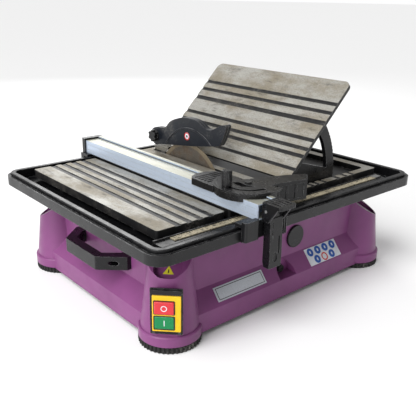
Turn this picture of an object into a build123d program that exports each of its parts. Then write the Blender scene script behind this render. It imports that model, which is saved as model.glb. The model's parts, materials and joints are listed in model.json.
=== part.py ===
from build123d import *
import math
import os

# Wet tile saw with a tilting table, a rip fence and a mitre gauge.
# Millimetres, +Z up. The saw is drawn about the middle of its tray, with +X to the right along the
# front, +Y to the back and the floor at z = 0. When it is written out, the whole saw is moved in X and Y
# so that the origin lies at the bottom centre of its box.

os.makedirs("parts", exist_ok=True)

# ---------------------------------------------------------------- driving dimensions
# tray and base
tray_length = 640.0
tray_depth = 504.0
tray_corner = 28.0
rim_height = 23.0
rim_width = 15.5
rim_step = 6.5
base_length = 500.0
base_depth = 380.0
base_height = 169.0
base_wall = 4.0
ledge_reach = 27.0
ledge_depth_reach = 25.0
ledge_low = 44.0
ledge_high = 73.5
base_clearance = 10.0
leg_x = 241.5
leg_y = 179.7
leg_bottom_radius = 49.5
leg_top_radius = 31.5
leg_ring_radius = 51.5
leg_ring_top = 29.0
leg_slope = 0.65
leg_slope_edge = 101.0
switch_leg_edge = 118.0
foot_height = 12.0
foot_radius = 49.0

# water tank
tank_wall = 2.5
tank_gap = 2.0
tank_corner = 44.0
tank_floor = 46.0
sump_floor = 24.0
floor_sheet = 3.0

# tables
table_top = 196.0
plate_thickness = 4.0
side_table_x = (-273.0, -137.0)
main_table_x = (-128.0, 276.0)
tables_y = (-190.0, 214.0)
recess_x = (28.0, 257.0)
recess_y = (-175.0, 196.0)
recess_floor = 185.0
groove_depth = 1.5
tilt_length = 367.5
tilt_width = 226.0
tilt_thickness = 7.0
tilt_edge_gap = 1.0
tilt_angle = 45.0
pivot_x = 8.9
pivot_z = 205.3
arc_inner = 130.0
arc_outer = 151.0
quadrant_thickness = 8.0
quadrant_y = 168.0

# blade and motor
blade_radius = 100.0
blade_x = 7.0
blade_y = 79.0
blade_z = 134.0
core_thickness = 1.8
rim_thickness = 2.2
rim_band = 8.0
arbor_radius = 12.7
shaft_radius = 8.0
flange_radius = 25.0
motor_radius = 41.0
motor_length = 112.0
motor_start = 32.0
run_gap = 0.05
free_gap = 0.4

# guard and riving knife
guard_width = 13.0
guard_wall = 2.2
knife_thickness = 1.6
knife_gap = 4.0
guard_pivot_y = 188.0
guard_pivot_z = 231.0
guard_knob_radius = 12.5

# fence and mitre gauge
fence_x = (-132.0, -94.0)
fence_length = 514.0
fence_bottom = 199.0
fence_ledge = 225.0
fence_top = 229.0
gauge_x = -88.0
gauge_y = -190.0
gauge_radius = 58.0
gauge_slot_radius = 39.5
head_thickness = 3.2
shoe_bridge = 2.0

# switch and small fittings
switch_width = 50.0
switch_height = 78.0
switch_face = 44.5
switch_low = 34.0
button_width = 30.0
button_height = 21.0
cap_x = 38.5
cap_z = 107.5
cap_radius = 21.5
handle_reach = 48.0
handle_height = 24.0
handle_length = 170.0
handle_bar = 100.0

# ---------------------------------------------------------------- derived places
rim_top = base_height + 1.0 + rim_height
skirt_bottom = base_height + 1.0
tray_floor = base_height + floor_sheet
tray_floor_top = tray_floor + floor_sheet
plate_under = table_top - plate_thickness
skirt_low = table_top - 14.0
recess_under = recess_floor - plate_thickness
tank_x = base_length / 2 - base_wall - 6.0
tank_y = base_depth / 2 - base_wall - tank_gap
canopy_x = (blade_x + 15.0, motor_start + motor_length + 56.0)
canopy_y = (blade_y - motor_radius - 14.0, blade_y + motor_radius + 14.0)
canopy_top = recess_under - 1.5
corners = [(-1, -1), (1, -1), (-1, 1), (1, 1)]

nodes = {}


# ---------------------------------------------------------------- helpers
def box(x0, x1, y0, y1, z0, z1):
    """A block between two corners."""
    return Pos((x0 + x1) / 2, (y0 + y1) / 2, (z0 + z1) / 2) * Box(x1 - x0, y1 - y0, z1 - z0)


def slab(length, depth, radius, z0, z1, x=0.0, y=0.0):
    """A block with rounded upright corners, centred on x and y."""
    outline = Pos(x, y, z0) * RectangleRounded(length, depth, radius)
    return extrude(outline, z1 - z0, dir=(0, 0, 1))


def rod_x(x0, x1, y, z, radius):
    """A round bar along X."""
    return Pos((x0 + x1) / 2, y, z) * Rot(0, 90, 0) * Cylinder(radius, x1 - x0)


def rod_y(x, y0, y1, z, radius):
    """A round bar along Y."""
    return Pos(x, (y0 + y1) / 2, z) * Rot(90, 0, 0) * Cylinder(radius, y1 - y0)


def rod_z(x, y, z0, z1, radius):
    """A round bar along Z."""
    return Pos(x, y, (z0 + z1) / 2) * Cylinder(radius, z1 - z0)


def plate_yz(points, x0, x1):
    """A plate in the YZ plane from a closed outline of (y, z) points."""
    outline = make_face(Polyline([(x0, y, z) for y, z in points], close=True))
    return extrude(outline, x1 - x0, dir=(1, 0, 0))


def plate_xz(points, y0, y1):
    """A plate in the XZ plane from a closed outline of (x, z) points."""
    outline = make_face(Polyline([(x, y0, z) for x, z in points], close=True))
    return extrude(outline, y1 - y0, dir=(0, 1, 0))


def plate_xy(points, z0, z1):
    """A level plate from a closed outline of (x, y) points."""
    outline = make_face(Polyline([(x, y, z0) for x, y in points], close=True))
    return extrude(outline, z1 - z0, dir=(0, 0, 1))


def upright_edges(shape):
    return shape.edges().filter_by(Axis.Z)


def add(name, *shapes):
    """Keep the solids of a named piece."""
    solids = []
    for shape in shapes:
        solids += list(shape.solids())
    nodes[name] = solids


def leg_frame(side_x, side_y):
    """Local frame on a leg's axis: local +X points diagonally outwards, local Y runs along the face."""
    heading = math.degrees(math.atan2(side_y, side_x))
    return Pos(side_x * leg_x, side_y * leg_y, 0) * Rot(0, 0, heading)


def slope_height(edge, out):
    """Height of a leg's sloping top at a distance outwards from its axis; edge is its lowest height."""
    return edge + leg_slope * (switch_face - out)


# ---------------------------------------------------------------- base housing
def base_block(inset, z0, z1, corner):
    """The stepped outer shape of the base, or its hollow when it is inset by the wall."""
    length = base_length - 2 * inset
    depth = base_depth - 2 * inset
    low_length = length + 2 * ledge_reach
    low_depth = depth + 2 * ledge_depth_reach
    upper = slab(length, depth, corner, ledge_high - inset, z1)
    lower = slab(low_length, low_depth, corner, z0, ledge_low - inset)
    slope = loft([Pos(0, 0, ledge_low - inset) * RectangleRounded(low_length, low_depth, corner),
                  Pos(0, 0, ledge_high - inset) * RectangleRounded(length, depth, corner)])
    return upper + lower + slope


leg_wall_out = -8.0
well_depth = 8.5


def leg_top_cut(edge):
    """The wedge above a leg's sloping top, with the well sunk in the slope, in the leg's frame."""
    far = 80.0
    wedge = plate_xz([(leg_wall_out, slope_height(edge, leg_wall_out)), (far, slope_height(edge, far)),
                      (far, base_height + 20), (leg_wall_out, base_height + 20)], -far, far)
    tilt = math.degrees(math.atan(leg_slope))
    on_slope = Pos(switch_face, 0, edge) * Rot(0, tilt, 0)
    well = Pos(-50, 0, 0) * Box(80, 44, 2 * well_depth)
    well = fillet(well.edges().filter_by(Axis.Z).group_by(Axis.X)[-1], 17)
    keep = Pos(leg_wall_out + far / 2, 0, edge) * Box(far, 2 * far, 2 * far)
    return wedge + ((on_slope * well) & keep)


def make_base():
    outer = base_block(0, base_clearance, base_height, 25)
    for side_x, side_y in corners:
        place = Pos(side_x * leg_x, side_y * leg_y, foot_height)
        height = base_height - foot_height
        outer += place * Cone(leg_bottom_radius, leg_top_radius, height,
                              align=(Align.CENTER, Align.CENTER, Align.MIN))
        ring_height = leg_ring_top - foot_height
        ring = Cylinder(leg_ring_radius, ring_height, align=(Align.CENTER, Align.CENTER, Align.MIN))
        ring = chamfer(ring.edges().group_by(Axis.Z)[-1], 2.0)
        outer += place * ring
    # hollow inside, legs hollow from below
    hollow = base_block(base_wall, base_clearance - 1, base_height + 1, tank_corner + 1)
    for side_x, side_y in corners:
        hollow += Pos(side_x * leg_x, side_y * leg_y, 0) * Cone(
            41, 36, 98, align=(Align.CENTER, Align.CENTER, Align.MIN))
        hollow += rod_z(side_x * leg_x, side_y * leg_y, 0, foot_height, foot_radius + 0.5)
    # front wall thickened round the drain niche
    niche_wall = box(niche_x - niche_half - 4, niche_x + niche_half + 4,
                     -base_depth / 2 - 20, -base_depth / 2 + base_wall, ledge_low - 4, ledge_high + 6)
    shell = outer - (hollow - niche_wall)
    for side_x, side_y in corners:
        edge = switch_leg_edge if (side_x, side_y) == (-1, -1) else leg_slope_edge
        shell -= leg_frame(side_x, side_y) * leg_top_cut(edge)
    # flat face on the front left leg for the switch, with the opening for its body
    frame = switch_frame()
    shell -= frame * box(0, 40, -70, 70, leg_ring_top + 0.5, switch_leg_edge + 25)
    opening = box(-30, 1, -21.5, 21.5, switch_low + 6, switch_low + switch_height - 8)
    shell -= frame * opening
    for y, z in switch_screw_places:
        shell -= frame * rod_x(-10, 5, y, z, 1.5 + run_gap)
    # drain niche, cap hole and cable gland hole
    arch = box(niche_x - niche_half, niche_x + niche_half, -base_depth / 2 - 60, -base_depth / 2,
               ledge_low + 1, ledge_low + 6)
    arch += rod_y(niche_x, -base_depth / 2 - 60, -base_depth / 2, ledge_low + 6, niche_half) & box(
        niche_x - 30, niche_x + 30, -400, 0, ledge_low + 1, ledge_high + 20)
    shell -= arch
    shell -= rod_y(niche_x, -base_depth / 2 - 10, -base_depth / 2 + 10, drain_z, spout_radius + run_gap)
    shell -= rod_y(cap_x, -base_depth / 2 - 10, -base_depth / 2 + 10, cap_z, cap_radius - 3)
    shell -= rod_y(gland_x, base_depth / 2 - 10, base_depth / 2 + 10, gland_z, gland_radius)
    # screw holes for the tray, the handles, the feet and the switch
    for side_x, side_y in corners:
        shell -= rod_z(side_x * tray_screw_x, side_y * tray_screw_y, base_height - 22, base_height + 1,
                       screw_radius + run_gap)
    for side in (-1, 1):
        for y in (handle_screw_y, -handle_screw_y):
            shell -= rod_x(side * base_length / 2 - 8, side * base_length / 2 + 8, y, handle_z,
                           screw_radius + run_gap)
    return shell


niche_x = 1.5
niche_half = 21.5
drain_z = 54.0
spout_radius = 7.0
gland_x = 150.0
gland_z = 100.0
gland_radius = 8.0
screw_radius = 2.0
tray_screw_x = leg_x - 8.5
tray_screw_y = leg_y - 8.5
handle_z = 100.0
handle_screw_y = handle_length / 2 - 15.5
switch_screw_places = [(side * (switch_width / 2 - 5), switch_low + 3) for side in (-1, 1)]
switch_shift = -1.0


def switch_frame():
    """Frame on the switch face: local +X out of the face, local Y along it, z from the floor."""
    return leg_frame(-1, -1) * Pos(switch_face, -switch_shift, 0)


add("base_housing", make_base())


# rubber boots under the legs, with a knurled rim
def make_foot():
    foot = Cylinder(foot_radius, foot_height, align=(Align.CENTER, Align.CENTER, Align.MIN))
    notches = [Rot(0, 0, 360 / 44 * i) * Pos(foot_radius + 0.9, 0, 0) * Cylinder(2.2, 4 * foot_height)
               for i in range(44)]
    foot -= Compound(notches)
    plug = Pos(0, 0, foot_height) * Cylinder(30, 10, align=(Align.CENTER, Align.CENTER, Align.MIN))
    foot += plug
    foot -= Pos(0, 0, 3) * Cylinder(26, 13, align=(Align.CENTER, Align.CENTER, Align.MIN))
    return foot


add("rubber_feet", *[Pos(side_x * leg_x, side_y * leg_y, 0) * make_foot() for side_x, side_y in corners])


# ---------------------------------------------------------------- water tank with its motor canopy
def make_tank():
    outer = slab(2 * tank_x, 2 * tank_y, tank_corner, tank_floor - tank_wall, base_height)
    flange = slab(base_length, base_depth, 25, base_height, tray_floor)
    for side_x, side_y in corners:
        flange -= leg_frame(side_x, side_y) * box(leg_wall_out, 90, -90, 90, base_height - 1, tray_floor + 1)
    inner = slab(2 * (tank_x - tank_wall), 2 * (tank_y - tank_wall), tank_corner - tank_wall, tank_floor,
                 tray_floor + 1)
    half_chord = math.sqrt(blade_radius ** 2 - (blade_z - tank_floor) ** 2) + 8
    sump_x = (blade_x - 15, blade_x + 12)
    sump_y = (blade_y - half_chord, blade_y + half_chord)
    sump = box(sump_x[0] - tank_wall, sump_x[1] + tank_wall, sump_y[0] - tank_wall, sump_y[1] + tank_wall,
               sump_floor - tank_wall, tank_floor)
    canopy = box(canopy_x[0], canopy_x[1], canopy_y[0], canopy_y[1], tank_floor - tank_wall, canopy_top)
    canopy = chamfer(canopy.edges().group_by(Axis.Z)[-1], 1.5)
    dry = box(canopy_x[0] + tank_wall, canopy_x[1] - tank_wall, canopy_y[0] + tank_wall,
              canopy_y[1] - tank_wall, tank_floor - tank_wall - 1, canopy_top - tank_wall)
    tank = outer + flange + sump - inner
    tank -= box(sump_x[0], sump_x[1], sump_y[0], sump_y[1], sump_floor, tank_floor + 1)
    tank += canopy
    tank -= dry
    # spout towards the drain niche
    tank += rod_y(niche_x, -base_depth / 2 - 1, -tank_y + tank_wall, drain_z, spout_radius)
    tank -= rod_y(niche_x, -base_depth / 2 - 2, -tank_y + tank_wall + 1, drain_z, spout_radius - 2.5)
    # shaft opening in the canopy wall and the tray screws' holes in the flange
    tank -= rod_x(canopy_x[0] - 1, canopy_x[0] + tank_wall + 1, blade_y, blade_z, seal_radius)
    for side_x, side_y in corners:
        tank -= rod_z(side_x * tray_screw_x, side_y * tray_screw_y, base_height - 1, tray_floor + 1,
                      screw_radius + run_gap)
    for x, y in base_plate_screws():
        tank += rod_z(x, y, tank_floor - 1, tank_floor + 12, 6)
        tank -= rod_z(x, y, tank_floor - tank_wall - 1, tank_floor + 9, screw_radius + run_gap)
    return tank


seal_radius = 15.0


def base_plate_screws():
    """Places of the four screws that hold the motor's base plate under the tank."""
    reach = 9.0
    return [(x, y) for x in (canopy_x[0] + 30, canopy_x[1] - 30)
            for y in (canopy_y[0] - reach, canopy_y[1] + reach)]


add("water_tank", make_tank())

# drain plug in the spout, seen in the niche
drain_face = -base_depth / 2 - 1
plug = rod_y(niche_x, drain_face - 4, drain_face, drain_z, spout_radius)
plug -= box(niche_x - 5, niche_x + 5, drain_face - 5, drain_face - 2.5, drain_z - 1, drain_z + 1)
plug += rod_y(niche_x, drain_face - 0.5, drain_face + 7, drain_z, spout_radius - 2.5 - run_gap)
add("drain_plug", plug)

# round cap in the front wall
cap_face = -base_depth / 2
cap = rod_y(cap_x, cap_face - 4, cap_face, cap_z, cap_radius)
cap = fillet(cap.edges().group_by(Axis.Y)[0], 1.5)
cap += rod_y(cap_x, cap_face - 0.5, cap_face + base_wall + 1, cap_z, cap_radius - 3 - run_gap)
add("front_cap", cap)

# inlet gland in the rear wall
gland_face = base_depth / 2
gland = rod_y(gland_x, gland_face, gland_face + 5, gland_z, gland_radius + 4)
gland += rod_y(gland_x, gland_face - base_wall - 1, gland_face, gland_z, gland_radius - run_gap)
gland += Pos(gland_x, gland_face + 11, gland_z) * Rot(-90, 0, 0) * Cone(9, 6.5, 12)
gland -= rod_y(gland_x, gland_face - 20, gland_face + 30, gland_z, 3.6)
add("cable_gland", gland)


# ---------------------------------------------------------------- tray frame
def ring(inset_out, inset_in, z0, z1):
    """A rounded rectangular ring, measured inwards from the tray's outer face."""
    outer = slab(tray_length - 2 * inset_out, tray_depth - 2 * inset_out, tray_corner - inset_out, z0, z1)
    inner = slab(tray_length - 2 * inset_in, tray_depth - 2 * inset_in, tray_corner - inset_in, z0 - 1,
                 z1 + 1)
    return outer - inner


boss_points = [(-262.0, -120.0), (-262.0, 120.0), (-155.0, 206.0), (-255.0, 206.0),
               (265.0, -120.0), (265.0, 120.0), (-60.0, 206.0), (190.0, 206.0)]
front_pads = [-255.0, -155.0, -110.0, 60.0, 250.0]


def make_tray():
    tray = ring(0, 3.5, skirt_bottom, rim_top - 5.5)
    tray += ring(3.0, rim_width, rim_top - 8.5, rim_top - 5.5)
    tray += ring(rim_step, rim_width, rim_top - 5.5, rim_top)
    tray -= ring(3.0, rim_step, rim_top - 6.8, rim_top - 5)
    tray += ring(rim_width - 3, rim_width, tray_floor, rim_top - 4)
    tray = chamfer(tray.edges().filter_by_position(Axis.Z, rim_top - 0.01, rim_top + 0.01), 0.8)
    floor = slab(tray_length - 2 * rim_width + 2, tray_depth - 2 * rim_width + 2,
                 tray_corner - rim_width + 1, tray_floor, tray_floor_top)
    floor -= slab(2 * (tank_x - 5), 2 * (tank_y - 4), tank_corner - 4, tray_floor - 1, tray_floor_top + 1)
    tray += floor
    # ledge and rail that carry the rule along the front
    tray += box(ledge_x[0], ledge_x[1], ledge_y[0] - 6, ledge_y[1] + 1, tray_floor, rule_seat)
    tray += box(ledge_x[0], ledge_x[1], ledge_y[1] + 1, ledge_y[1] + 4, tray_floor, rule_seat + 2.5)
    for x in front_pads:
        tray += box(x - 9, x + 9, -tables_skirt_y, -tank_y + 3, tray_floor, skirt_low)
    for x, y in boss_points:
        tray += rod_z(x, y, tray_floor, skirt_low, 5)
        tray -= rod_z(x, y, tray_floor - 1, skirt_low + 1, screw_radius + run_gap)
    for side_x, side_y in corners:
        tray -= rod_z(side_x * tray_screw_x, side_y * tray_screw_y, tray_floor - 1, tray_floor_top + 1,
                      screw_radius + run_gap)
    return tray


ledge_x = (-288.0, 262.0)
ledge_y = (-217.5, -204.0)
rule_seat = 186.0
tables_skirt_y = 193.0
add("tray_frame", make_tray())


def pan_screw(x, y, z_head, length, up):
    """A pan head screw; its head stands at z_head and its shank points up or down."""
    sign = 1 if up else -1
    low, high = sorted((z_head, z_head + sign * length))
    shank = rod_z(x, y, low, high, screw_radius)
    head_low, head_high = sorted((z_head, z_head - sign * 3))
    head = rod_z(x, y, head_low, head_high, 4)
    head = fillet(head.edges().group_by(Axis.Z)[0 if up else -1], 1.0)
    return head + shank


tray_screws = [pan_screw(side_x * tray_screw_x, side_y * tray_screw_y, tray_floor_top, 24, False)
               for side_x, side_y in corners]
table_screws = [pan_screw(x, y, tray_floor, 17, True) for x, y in boss_points]

# rule along the front, with a plain stop at its right end
rule_end = 240.0
rule = box(-259, rule_end, ledge_y[0] + 1, ledge_y[1], rule_seat, rule_seat + 1.5)
add("front_rule", rule)
stop = box(rule_end + 0.3, rule_end + 18, ledge_y[0] + 1, ledge_y[1], rule_seat, rule_seat + 2.5)
add("rule_end_stop", stop)


# ---------------------------------------------------------------- tables
def grooves(starts, width, y0, y1, top):
    """Long grooves parallel to Y in a table's top."""
    return [box(x, x + width, y0, y1, top - groove_depth, top + 1) for x in starts]


# a little more than the gap between a rear screw and the skirt, so that boss and skirt join
table_boss_radius = 6.0


def table_shell(x0, x1):
    """A plate with a folded skirt all round."""
    y0, y1 = tables_y
    plate = slab(x1 - x0, y1 - y0, 5, skirt_low, table_top, (x0 + x1) / 2, (y0 + y1) / 2)
    plate -= slab(x1 - x0 - 5, y1 - y0 - 5, 2.5, skirt_low - 1, plate_under, (x0 + x1) / 2, (y0 + y1) / 2)
    return plate


def add_bosses(table, x0, x1):
    """Screw bosses under a table."""
    for x, y in boss_points:
        if x0 < x < x1:
            table += rod_z(x, y, skirt_low, plate_under + 1, table_boss_radius)
            table -= rod_z(x, y, skirt_low - 1, plate_under - 1, screw_radius + run_gap)
    return table


side_pitch = 22.2
side_groove = 10.5
side_starts = [side_table_x[0] + 35 + side_pitch * i for i in range(4)]
side_table = add_bosses(table_shell(*side_table_x), *side_table_x)
for groove in grooves(side_starts, side_groove, tables_y[0] - 1, tables_y[1] + 1, table_top):
    side_table -= groove
add("side_table", side_table)

# the same seven grooves run across the tilting table and the ends of the main table
tilt_right = recess_x[0] + tilt_edge_gap + tilt_width
tilt_left = recess_x[0] + tilt_edge_gap
tilt_grooves = [(49.6, 8.0), (70.0, 8.0), (93.0, 10.0), (133.6, 8.0), (154.0, 8.0),
                (170.0, 8.0), (199.5, 7.0)]
slot_half = 5.0
opening_x = (recess_x[0] + 3, pivot_x + arc_outer + 4)
opening_y = 150.0


def make_main_table():
    x0, x1 = main_table_x
    table = add_bosses(table_shell(x0, x1), x0, x1)
    pan_length = recess_x[1] - recess_x[0]
    pan_depth = recess_y[1] - recess_y[0]
    mid_x = (recess_x[0] + recess_x[1]) / 2
    mid_y = (recess_y[0] + recess_y[1]) / 2
    table += slab(pan_length + 6, pan_depth + 6, 5, recess_under, table_top - 0.5, mid_x, mid_y)
    table -= slab(pan_length, pan_depth, 12, recess_floor, table_top + 1, mid_x, mid_y)
    # nearly square corners beside the blade, where the tilting table's own corners are
    table -= slab(40, pan_depth, 3, recess_floor, table_top + 1, recess_x[0] + 20, mid_y)
    for start, width in tilt_grooves:
        left = tilt_right - start - width
        table -= box(left, left + width, tables_y[0] - 1, recess_y[0] + 1, table_top - groove_depth,
                     table_top + 1)
        table -= box(left, left + width, recess_y[1] - 1, tables_y[1] + 1, table_top - groove_depth,
                     table_top + 1)
    # blade slot, open under the riving knife as well
    table -= box(blade_x - slot_half, blade_x + slot_half, blade_y - blade_radius - 6, tables_y[1] - 12,
                 skirt_low - 1, table_top + 1)
    # openings that the quadrants swing down through
    for side in (-1, 1):
        y0, y1 = sorted((side * opening_y, side * (quadrant_y + quadrant_thickness / 2 + 1.5)))
        table -= box(opening_x[0], opening_x[1], y0, y1, recess_under - 1, recess_floor + 1)
    # bosses for the quadrant guides and the knife bracket
    for side in (-1, 1):
        for x in guide_screw_x:
            table -= rod_z(x, side * quadrant_y, recess_under - 1, recess_floor - 1, screw_radius + run_gap)
    for y in bracket_screw_y:
        table -= rod_z(bracket_x, y, skirt_low, plate_under + 2.5, screw_radius + run_gap)
    return table


guide_screw_x = [170.0, 180.0]
bracket_x = 17.0
bracket_screw_y = [183.0, 195.0]
add("main_table", make_main_table())


# ---------------------------------------------------------------- tilting table and its quadrants
def tilted(shape):
    """Turn a piece drawn with the table level up to the stored, tilted place."""
    pivot = Pos(pivot_x, 0, pivot_z)
    return pivot * Rot(0, -tilt_angle, 0) * pivot.inverse() * shape


def make_tilt_table():
    mid_y = (recess_y[0] + recess_y[1]) / 2
    y0 = mid_y - tilt_length / 2
    y1 = mid_y + tilt_length / 2
    low = table_top - tilt_thickness
    plate = box(tilt_left, tilt_right, y0, y1, low, table_top)
    plate = fillet(upright_edges(plate).group_by(Axis.X)[-1], 13)
    plate = fillet(upright_edges(plate).group_by(Axis.X)[0], 4)
    for start, width in tilt_grooves:
        left = tilt_right - start - width
        plate -= box(left, left + width, y0 - 1, y1 + 1, table_top - groove_depth, table_top + 1)
    # ribbed underside
    pockets = []
    count_x = 5
    count_y = 7
    step_x = (tilt_width - 16) / count_x
    step_y = (tilt_length - 70) / count_y
    for i in range(count_x):
        for j in range(count_y):
            x = tilt_left + 8 + step_x * (i + 0.5)
            y = y0 + 35 + step_y * (j + 0.5)
            pockets.append(Pos(x, y, low) * Box(step_x - 5, step_y - 5, 5.0))
    plate -= Compound(pockets)
    for side in (-1, 1):
        for x in quadrant_screw_x:
            plate -= rod_z(x, side * quadrant_screw_y, low - 1, low + 4, screw_radius + run_gap)
    return tilted(plate)


quadrant_screw_x = [122.0, 150.0]
quadrant_screw_y = quadrant_y - quadrant_thickness / 2 - 8.0
notch_step = 3.0


def make_quadrant(side):
    """A toothed arc with a cross bar and a flange, drawn in the tilted place about the pivot."""
    low = table_top - tilt_thickness
    y = side * quadrant_y
    y0 = y - quadrant_thickness / 2
    y1 = y + quadrant_thickness / 2
    band = rod_y(pivot_x, y0, y1, pivot_z, arc_outer) - rod_y(pivot_x, y0 - 1, y1 + 1, pivot_z, arc_inner)
    # sector kept between the guide and the plate
    far = 400.0
    drop = math.radians(-12)
    rise = math.radians(48)
    sector = plate_xz([(pivot_x, pivot_z),
                       (pivot_x + far * math.cos(drop), pivot_z + far * math.sin(drop)),
                       (pivot_x + far, pivot_z + far * 0.5),
                       (pivot_x + far * math.cos(rise), pivot_z + far * math.sin(rise))], y0 - 1, y1 + 1)
    band &= sector
    for i in range(14):
        angle = math.radians(-6 + notch_step * i)
        reach = arc_outer + 1.2
        band -= rod_y(pivot_x + reach * math.cos(angle), y0 - 1, y1 + 1,
                      pivot_z + reach * math.sin(angle), 2.0)
    foot_end = pivot_x + arc_inner + 8
    # the web's left edge slopes, so that it clears the recess floor when the table lies flat
    bar = plate_xz([(48, 250), (64, 238), (foot_end, 214), (foot_end, recess_floor + 4),
                    (60.5, recess_floor + 4), (37.5, 212)], y0, y1)
    frame = band + bar
    above = tilted(box(-200, 400, y0 - 5, y1 + 5, low, low + 300))
    frame -= above
    inner_y0, inner_y1 = sorted((side * (quadrant_y - quadrant_thickness / 2 - 15), side * quadrant_y))
    flange = box(112, 158, inner_y0, inner_y1, low - 3, low)
    for x in quadrant_screw_x:
        flange -= rod_z(x, side * quadrant_screw_y, low - 5, low + 1, screw_radius + run_gap)
    return frame + tilted(flange)


add("tilt_table", make_tilt_table())
add("tilt_quadrants", make_quadrant(-1), make_quadrant(1))
add("tilt_table_screws", *[tilted(rod_z(x, side * quadrant_screw_y, table_top - tilt_thickness - 3,
                                        table_top - tilt_thickness + 3.5, screw_radius)
                                  + rod_z(x, side * quadrant_screw_y, table_top - tilt_thickness - 5,
                                          table_top - tilt_thickness - 3, 3.5))
                           for side in (-1, 1) for x in quadrant_screw_x])


def make_guide(side):
    """Shoe under the main table that the quadrant's outer edge slides in."""
    y0 = side * quadrant_y - 9
    y1 = side * quadrant_y + 9
    if side > 0:
        y0, y1 = y0 - 1, y1 - 1
    else:
        y0, y1 = y0 + 1, y1 + 1
    block = box(140, 186, y0, y1, recess_under - 26, recess_under)
    slot_y0 = side * quadrant_y - quadrant_thickness / 2 - free_gap
    slot_y1 = side * quadrant_y + quadrant_thickness / 2 + free_gap
    block -= rod_y(pivot_x, y0 - 1, y1 + 1, pivot_z, arc_outer - 6)
    block -= rod_y(pivot_x, slot_y0, slot_y1, pivot_z, arc_outer + free_gap)
    for x in guide_screw_x:
        block -= rod_z(x, side * quadrant_y, recess_under - 30, recess_under + 1, screw_radius + run_gap)
    return block


add("quadrant_guides", make_guide(-1), make_guide(1))
guide_screws = [pan_screw(x, side * quadrant_y, recess_under - 26, 28.5, True)
                for side in (-1, 1) for x in guide_screw_x]


def make_pawl(side):
    """Low sliding latch on the recess floor beside the quadrant's teeth."""
    y = side * quadrant_y
    edge = pivot_x + math.sqrt(arc_outer ** 2 - (pivot_z - recess_floor - 3) ** 2) + free_gap
    pawl = box(edge + 5, edge + 24, y - 6, y + 6, recess_floor, recess_floor + 3.2)
    pawl += plate_xy([(edge + 6, y - 4), (edge + 0.4, y - 1), (edge + 0.4, y + 1), (edge + 6, y + 4)],
                     recess_floor, recess_floor + 3.2)
    for i in range(3):
        pawl -= box(edge + 15 + 3 * i, edge + 16.2 + 3 * i, y - 7, y + 7, recess_floor + 2.4,
                    recess_floor + 4)
    return pawl


add("tilt_latch_front", make_pawl(-1))
add("tilt_latch_rear", make_pawl(1))

# ---------------------------------------------------------------- blade, arbor and motor
core = rod_x(blade_x - core_thickness / 2, blade_x + core_thickness / 2, blade_y, blade_z,
             blade_radius - rim_band)
core -= rod_x(blade_x - 5, blade_x + 5, blade_y, blade_z, arbor_radius)
add("blade_core", core)
diamond_rim = rod_x(blade_x - rim_thickness / 2, blade_x + rim_thickness / 2, blade_y, blade_z, blade_radius)
diamond_rim -= rod_x(blade_x - 5, blade_x + 5, blade_y, blade_z, blade_radius - rim_band)
add("diamond_rim", diamond_rim)

core_left = blade_x - core_thickness / 2
core_right = blade_x + core_thickness / 2
flange_thickness = 5.0


def make_flange(x_face, outwards, spigot):
    """A dished clamping flange; the inner one has the spigot that centres the blade."""
    x_far = x_face + outwards * flange_thickness
    low, high = sorted((x_face, x_far))
    flange = rod_x(low, high, blade_y, blade_z, flange_radius)
    outer_edge = flange.edges().filter_by(GeomType.CIRCLE)
    outer_edge = outer_edge.filter_by_position(Axis.X, x_far - 0.01, x_far + 0.01)
    flange = chamfer(outer_edge, 1.5)
    relief_low, relief_high = sorted((x_face - outwards, x_face + outwards * 1.0))
    flange -= rod_x(relief_low, relief_high, blade_y, blade_z, flange_radius - 6)
    if spigot:
        flange += rod_x(core_left + 0.2, core_right + 1, blade_y, blade_z, arbor_radius - run_gap)
    return flange - rod_x(-60, 60, blade_y, blade_z, shaft_radius)


add("inner_flange", make_flange(core_right, 1, True))
add("outer_flange", make_flange(core_left, -1, False))
nut_right = core_left - flange_thickness
nut = Pos(nut_right - 4, blade_y, blade_z) * Rot(0, 90, 0) * extrude(RegularPolygon(12, 6), 8, both=False)
nut = Pos(-4, 0, 0) * nut
nut -= rod_x(-60, 60, blade_y, blade_z, shaft_radius)
add("arbor_nut", nut)

motor_end = motor_start + motor_length
shaft = rod_x(nut_right - 12, motor_end + 32, blade_y, blade_z, shaft_radius)
shaft += rod_x(core_right + flange_thickness, core_right + flange_thickness + 5, blade_y, blade_z,
               shaft_radius + 3)
add("motor_shaft", shaft)

housing = rod_x(motor_start, motor_end, blade_y, blade_z, motor_radius - 3)
fins = [Pos(0, blade_y, blade_z) * Rot(15 * i, 0, 0) * box(motor_start + 4, motor_end - 4, -1.2, 1.2,
                                                         motor_radius - 5, motor_radius)
        for i in range(24)]
housing += Compound(fins)
plate_top = tank_floor - tank_wall
for x in (motor_start + 12, motor_end - 30):
    housing += box(x, x + 18, blade_y - 30, blade_y + 30, plate_top, blade_z - 25)
housing -= rod_x(motor_start - 1, motor_end + 1, blade_y, blade_z, motor_radius - 7)
foot_screws_at = [(x + 9, blade_y + s * 24) for x in (motor_start + 12, motor_end - 30) for s in (-1, 1)]
for x, y in foot_screws_at:
    housing -= rod_z(x, y, plate_top - 1, plate_top + 14, screw_radius + run_gap)
add("motor_housing", housing)

stator = rod_x(motor_start + 22, motor_end - 24, blade_y, blade_z, motor_radius - 7)
stator -= rod_x(0, motor_end + 10, blade_y, blade_z, 22)
slots = [Pos(0, blade_y, blade_z) * Rot(15 * i, 0, 0) * box(motor_start + 10, motor_end, -1.4, 1.4, 20, 28)
         for i in range(24)]
stator -= Compound(slots)
add("stator", stator)
winding = [rod_x(x, x + 10, blade_y, blade_z, 32) - rod_x(x - 1, x + 11, blade_y, blade_z, 24)
           for x in (motor_start + 12, motor_end - 24)]
add("stator_windings", *winding)
rotor = rod_x(motor_start + 22, motor_end - 24, blade_y, blade_z, 22 - free_gap)
rotor -= rod_x(0, motor_end + 10, blade_y, blade_z, shaft_radius)
add("rotor_core", rotor)


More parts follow.
